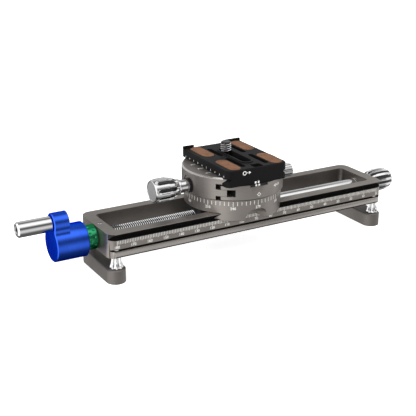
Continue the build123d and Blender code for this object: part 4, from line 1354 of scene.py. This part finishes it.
@dataclass
class Studio:
    """The pale floor, the soft lights and the camera at the photograph's viewpoint."""

    focal_px: float = 933.79
    frame_px: float = 416.0
    sensor: float = 36.0
    azimuth: float = -29.854
    elevation: float = 20.131
    eye: Triple = (-270.83, -453.90, 217.5)
    floor_half: float = 6000.0
    floor_z: float = -0.05
    aim_z: float = 0.03
    # The softboxes: name, middle, width and height in millimetres, and power in watts.
    lamps: tuple = (
        ("top_softbox", (-60.0, -60.0, 900.0), 900.0, 500.0, 3.0),
        ("front_softbox", (-420.0, -820.0, 260.0), 700.0, 400.0, 3.8),
    )
    # The tent round the object: brightness against the angle over it, from straight down in front
    # (-90 degrees), by the front horizon (0), overhead (90) and the back horizon (180).
    tent: tuple = (
        (-90, 0.12), (-62, 0.12), (-48, 0.26), (-34, 0.66), (-20, 0.82), (-8, 0.76), (4, 0.38), (14, 0.14),
        (28, 0.12), (40, 0.60), (50, 1.30), (76, 1.30), (90, 0.80), (100, 0.16), (112, 0.24), (138, 0.60),
        (172, 0.68), (190, 0.35), (215, 0.18), (240, 0.12),
    )
    # Two tall softboxes stand beside the object: the side, the shares of X between which a
    # direction passes into the softbox, and its brightness.
    sides: tuple = ((-1.0, 0.49, 0.60, 1.5), (1.0, 0.58, 0.76, 1.0))

    def build(self) -> None:
        """Set up the floor, lights and camera."""
        self.floor()
        self.world()
        self.lights()
        self.camera()

    def floor(self) -> None:
        """Lay a wide pale floor, lit from below, that shows no reflection of itself in the metal."""
        signs = np.array([(-1, -1), (1, -1), (1, 1), (-1, 1)])
        corners = np.column_stack([signs * self.floor_half, np.full(4, self.floor_z)])
        mesh = bpy.data.meshes.new("floor")
        mesh.from_pydata((corners * MM).tolist(), [], [(0, 1, 2, 3)])
        paint = bpy.data.materials.new("white_light_table")
        paint.use_nodes = True
        look = {
            "Base Color": linear_colour("#e9e9e9"),
            "Roughness": 0.9,
            "Emission Color": linear_colour("#ffffff"),
            "Emission Strength": 0.7,
        }
        for key, value in look.items():
            paint.node_tree.nodes["Principled BSDF"].inputs[key].default_value = value
        mesh.materials.append(paint)
        floor = bpy.data.objects.new("floor", mesh)
        floor.visible_glossy = False
        floor.visible_diffuse = False
        bpy.context.scene.collection.objects.link(floor)

    def world(self) -> None:
        """Surround the object with a grey tent whose strips give the metal its bands.

        The metal reflects the tent, and what stands behind the object is plain white. The angle
        is that of the direction (y, z), taken as atan2(z, -y).
        """
        world = bpy.data.worlds.new("studio")
        world.use_nodes = True
        tree = world.node_tree
        tree.nodes.clear()
        way = add_node(tree, "ShaderNodeTexCoord").outputs["Generated"]
        x, y, z = add_node(tree, "ShaderNodeSeparateXYZ", {0: way}).outputs
        angle = calculate(tree, "ARCTAN2", z, calculate(tree, "MULTIPLY", y, -1.0))
        past = calculate(tree, "ADD", angle, math.pi / 2)
        share = calculate(tree, "FLOORED_MODULO", past, TURN)
        ramp = add_node(tree, "ShaderNodeValToRGB", {0: calculate(tree, "DIVIDE", share, TURN)})
        stops = ramp.color_ramp.elements
        while len(stops) < len(self.tent):
            stops.new(0.5)
        for stop, (degrees, light) in zip(stops, self.tent):
            stop.position = (degrees + 90) / 360
            stop.color = (light, light, light, 1.0)
        shade = ramp.outputs[0]
        for side, inner, outer, light in self.sides:
            beside = remap(tree, x, (side * inner, side * outer), ease="SMOOTHSTEP")
            shade = blend(tree, beside, shade, (light, light, light, 1.0))
        seen = add_node(tree, "ShaderNodeLightPath").outputs["Is Camera Ray"]
        shown = blend(tree, seen, shade, (1.0, 1.0, 1.0, 1.0))
        ground = add_node(tree, "ShaderNodeBackground", {"Color": shown, "Strength": 1.0})
        add_node(tree, "ShaderNodeOutputWorld", {"Surface": ground.outputs[0]})
        bpy.context.scene.world = world
        bpy.context.scene.view_settings.view_transform = "Standard"

    def lights(self) -> None:
        """Hang the softboxes, which face the rail's middle and aren't seen in the metal."""
        for name, place, width, height, watts in self.lamps:
            light = bpy.data.lights.new(name, "AREA")
            light.shape = "RECTANGLE"
            light.size, light.size_y, light.energy = width * MM, height * MM, watts
            lamp = bpy.data.objects.new(name, light)
            lamp.location = Vector(place) * MM
            lamp.visible_glossy = False
            back = lamp.location - Vector((0.0, 0.0, self.aim_z))
            lamp.rotation_euler = back.to_track_quat("Z", "Y").to_euler()
            bpy.context.scene.collection.objects.link(lamp)

    def camera(self) -> None:
        """Stand the camera where the photograph's was, worked out from the rail's own scale."""
        a, e = math.radians(self.azimuth), math.radians(self.elevation)
        back = Vector((math.sin(a) * math.cos(e), -math.cos(a) * math.cos(e), math.sin(e)))
        right = Vector((math.cos(a), math.sin(a), 0.0))
        lens = bpy.data.cameras.new("camera")
        lens.sensor_width = self.sensor
        lens.sensor_fit = "HORIZONTAL"
        lens.lens = self.focal_px / self.frame_px * self.sensor
        lens.clip_start, lens.clip_end = 0.01, 50.0
        camera = bpy.data.objects.new("camera", lens)
        turn = Matrix((right, back.cross(right), back)).transposed().to_4x4()
        camera.matrix_world = Matrix.Translation(Vector(self.eye) * MM) @ turn
        bpy.context.scene.collection.objects.link(camera)
        bpy.context.scene.camera = camera


def main() -> None:
    """Build every sub-assembly in order."""
    logging.basicConfig(level=logging.INFO, format="%(message)s")
    Studio().build()
    for part in (Rail(), Drive(), Carriage(), PanClamp(), Plate()):
        part.build()
    bpy.context.view_layer.update()


if __name__ == "__main__":
    main()
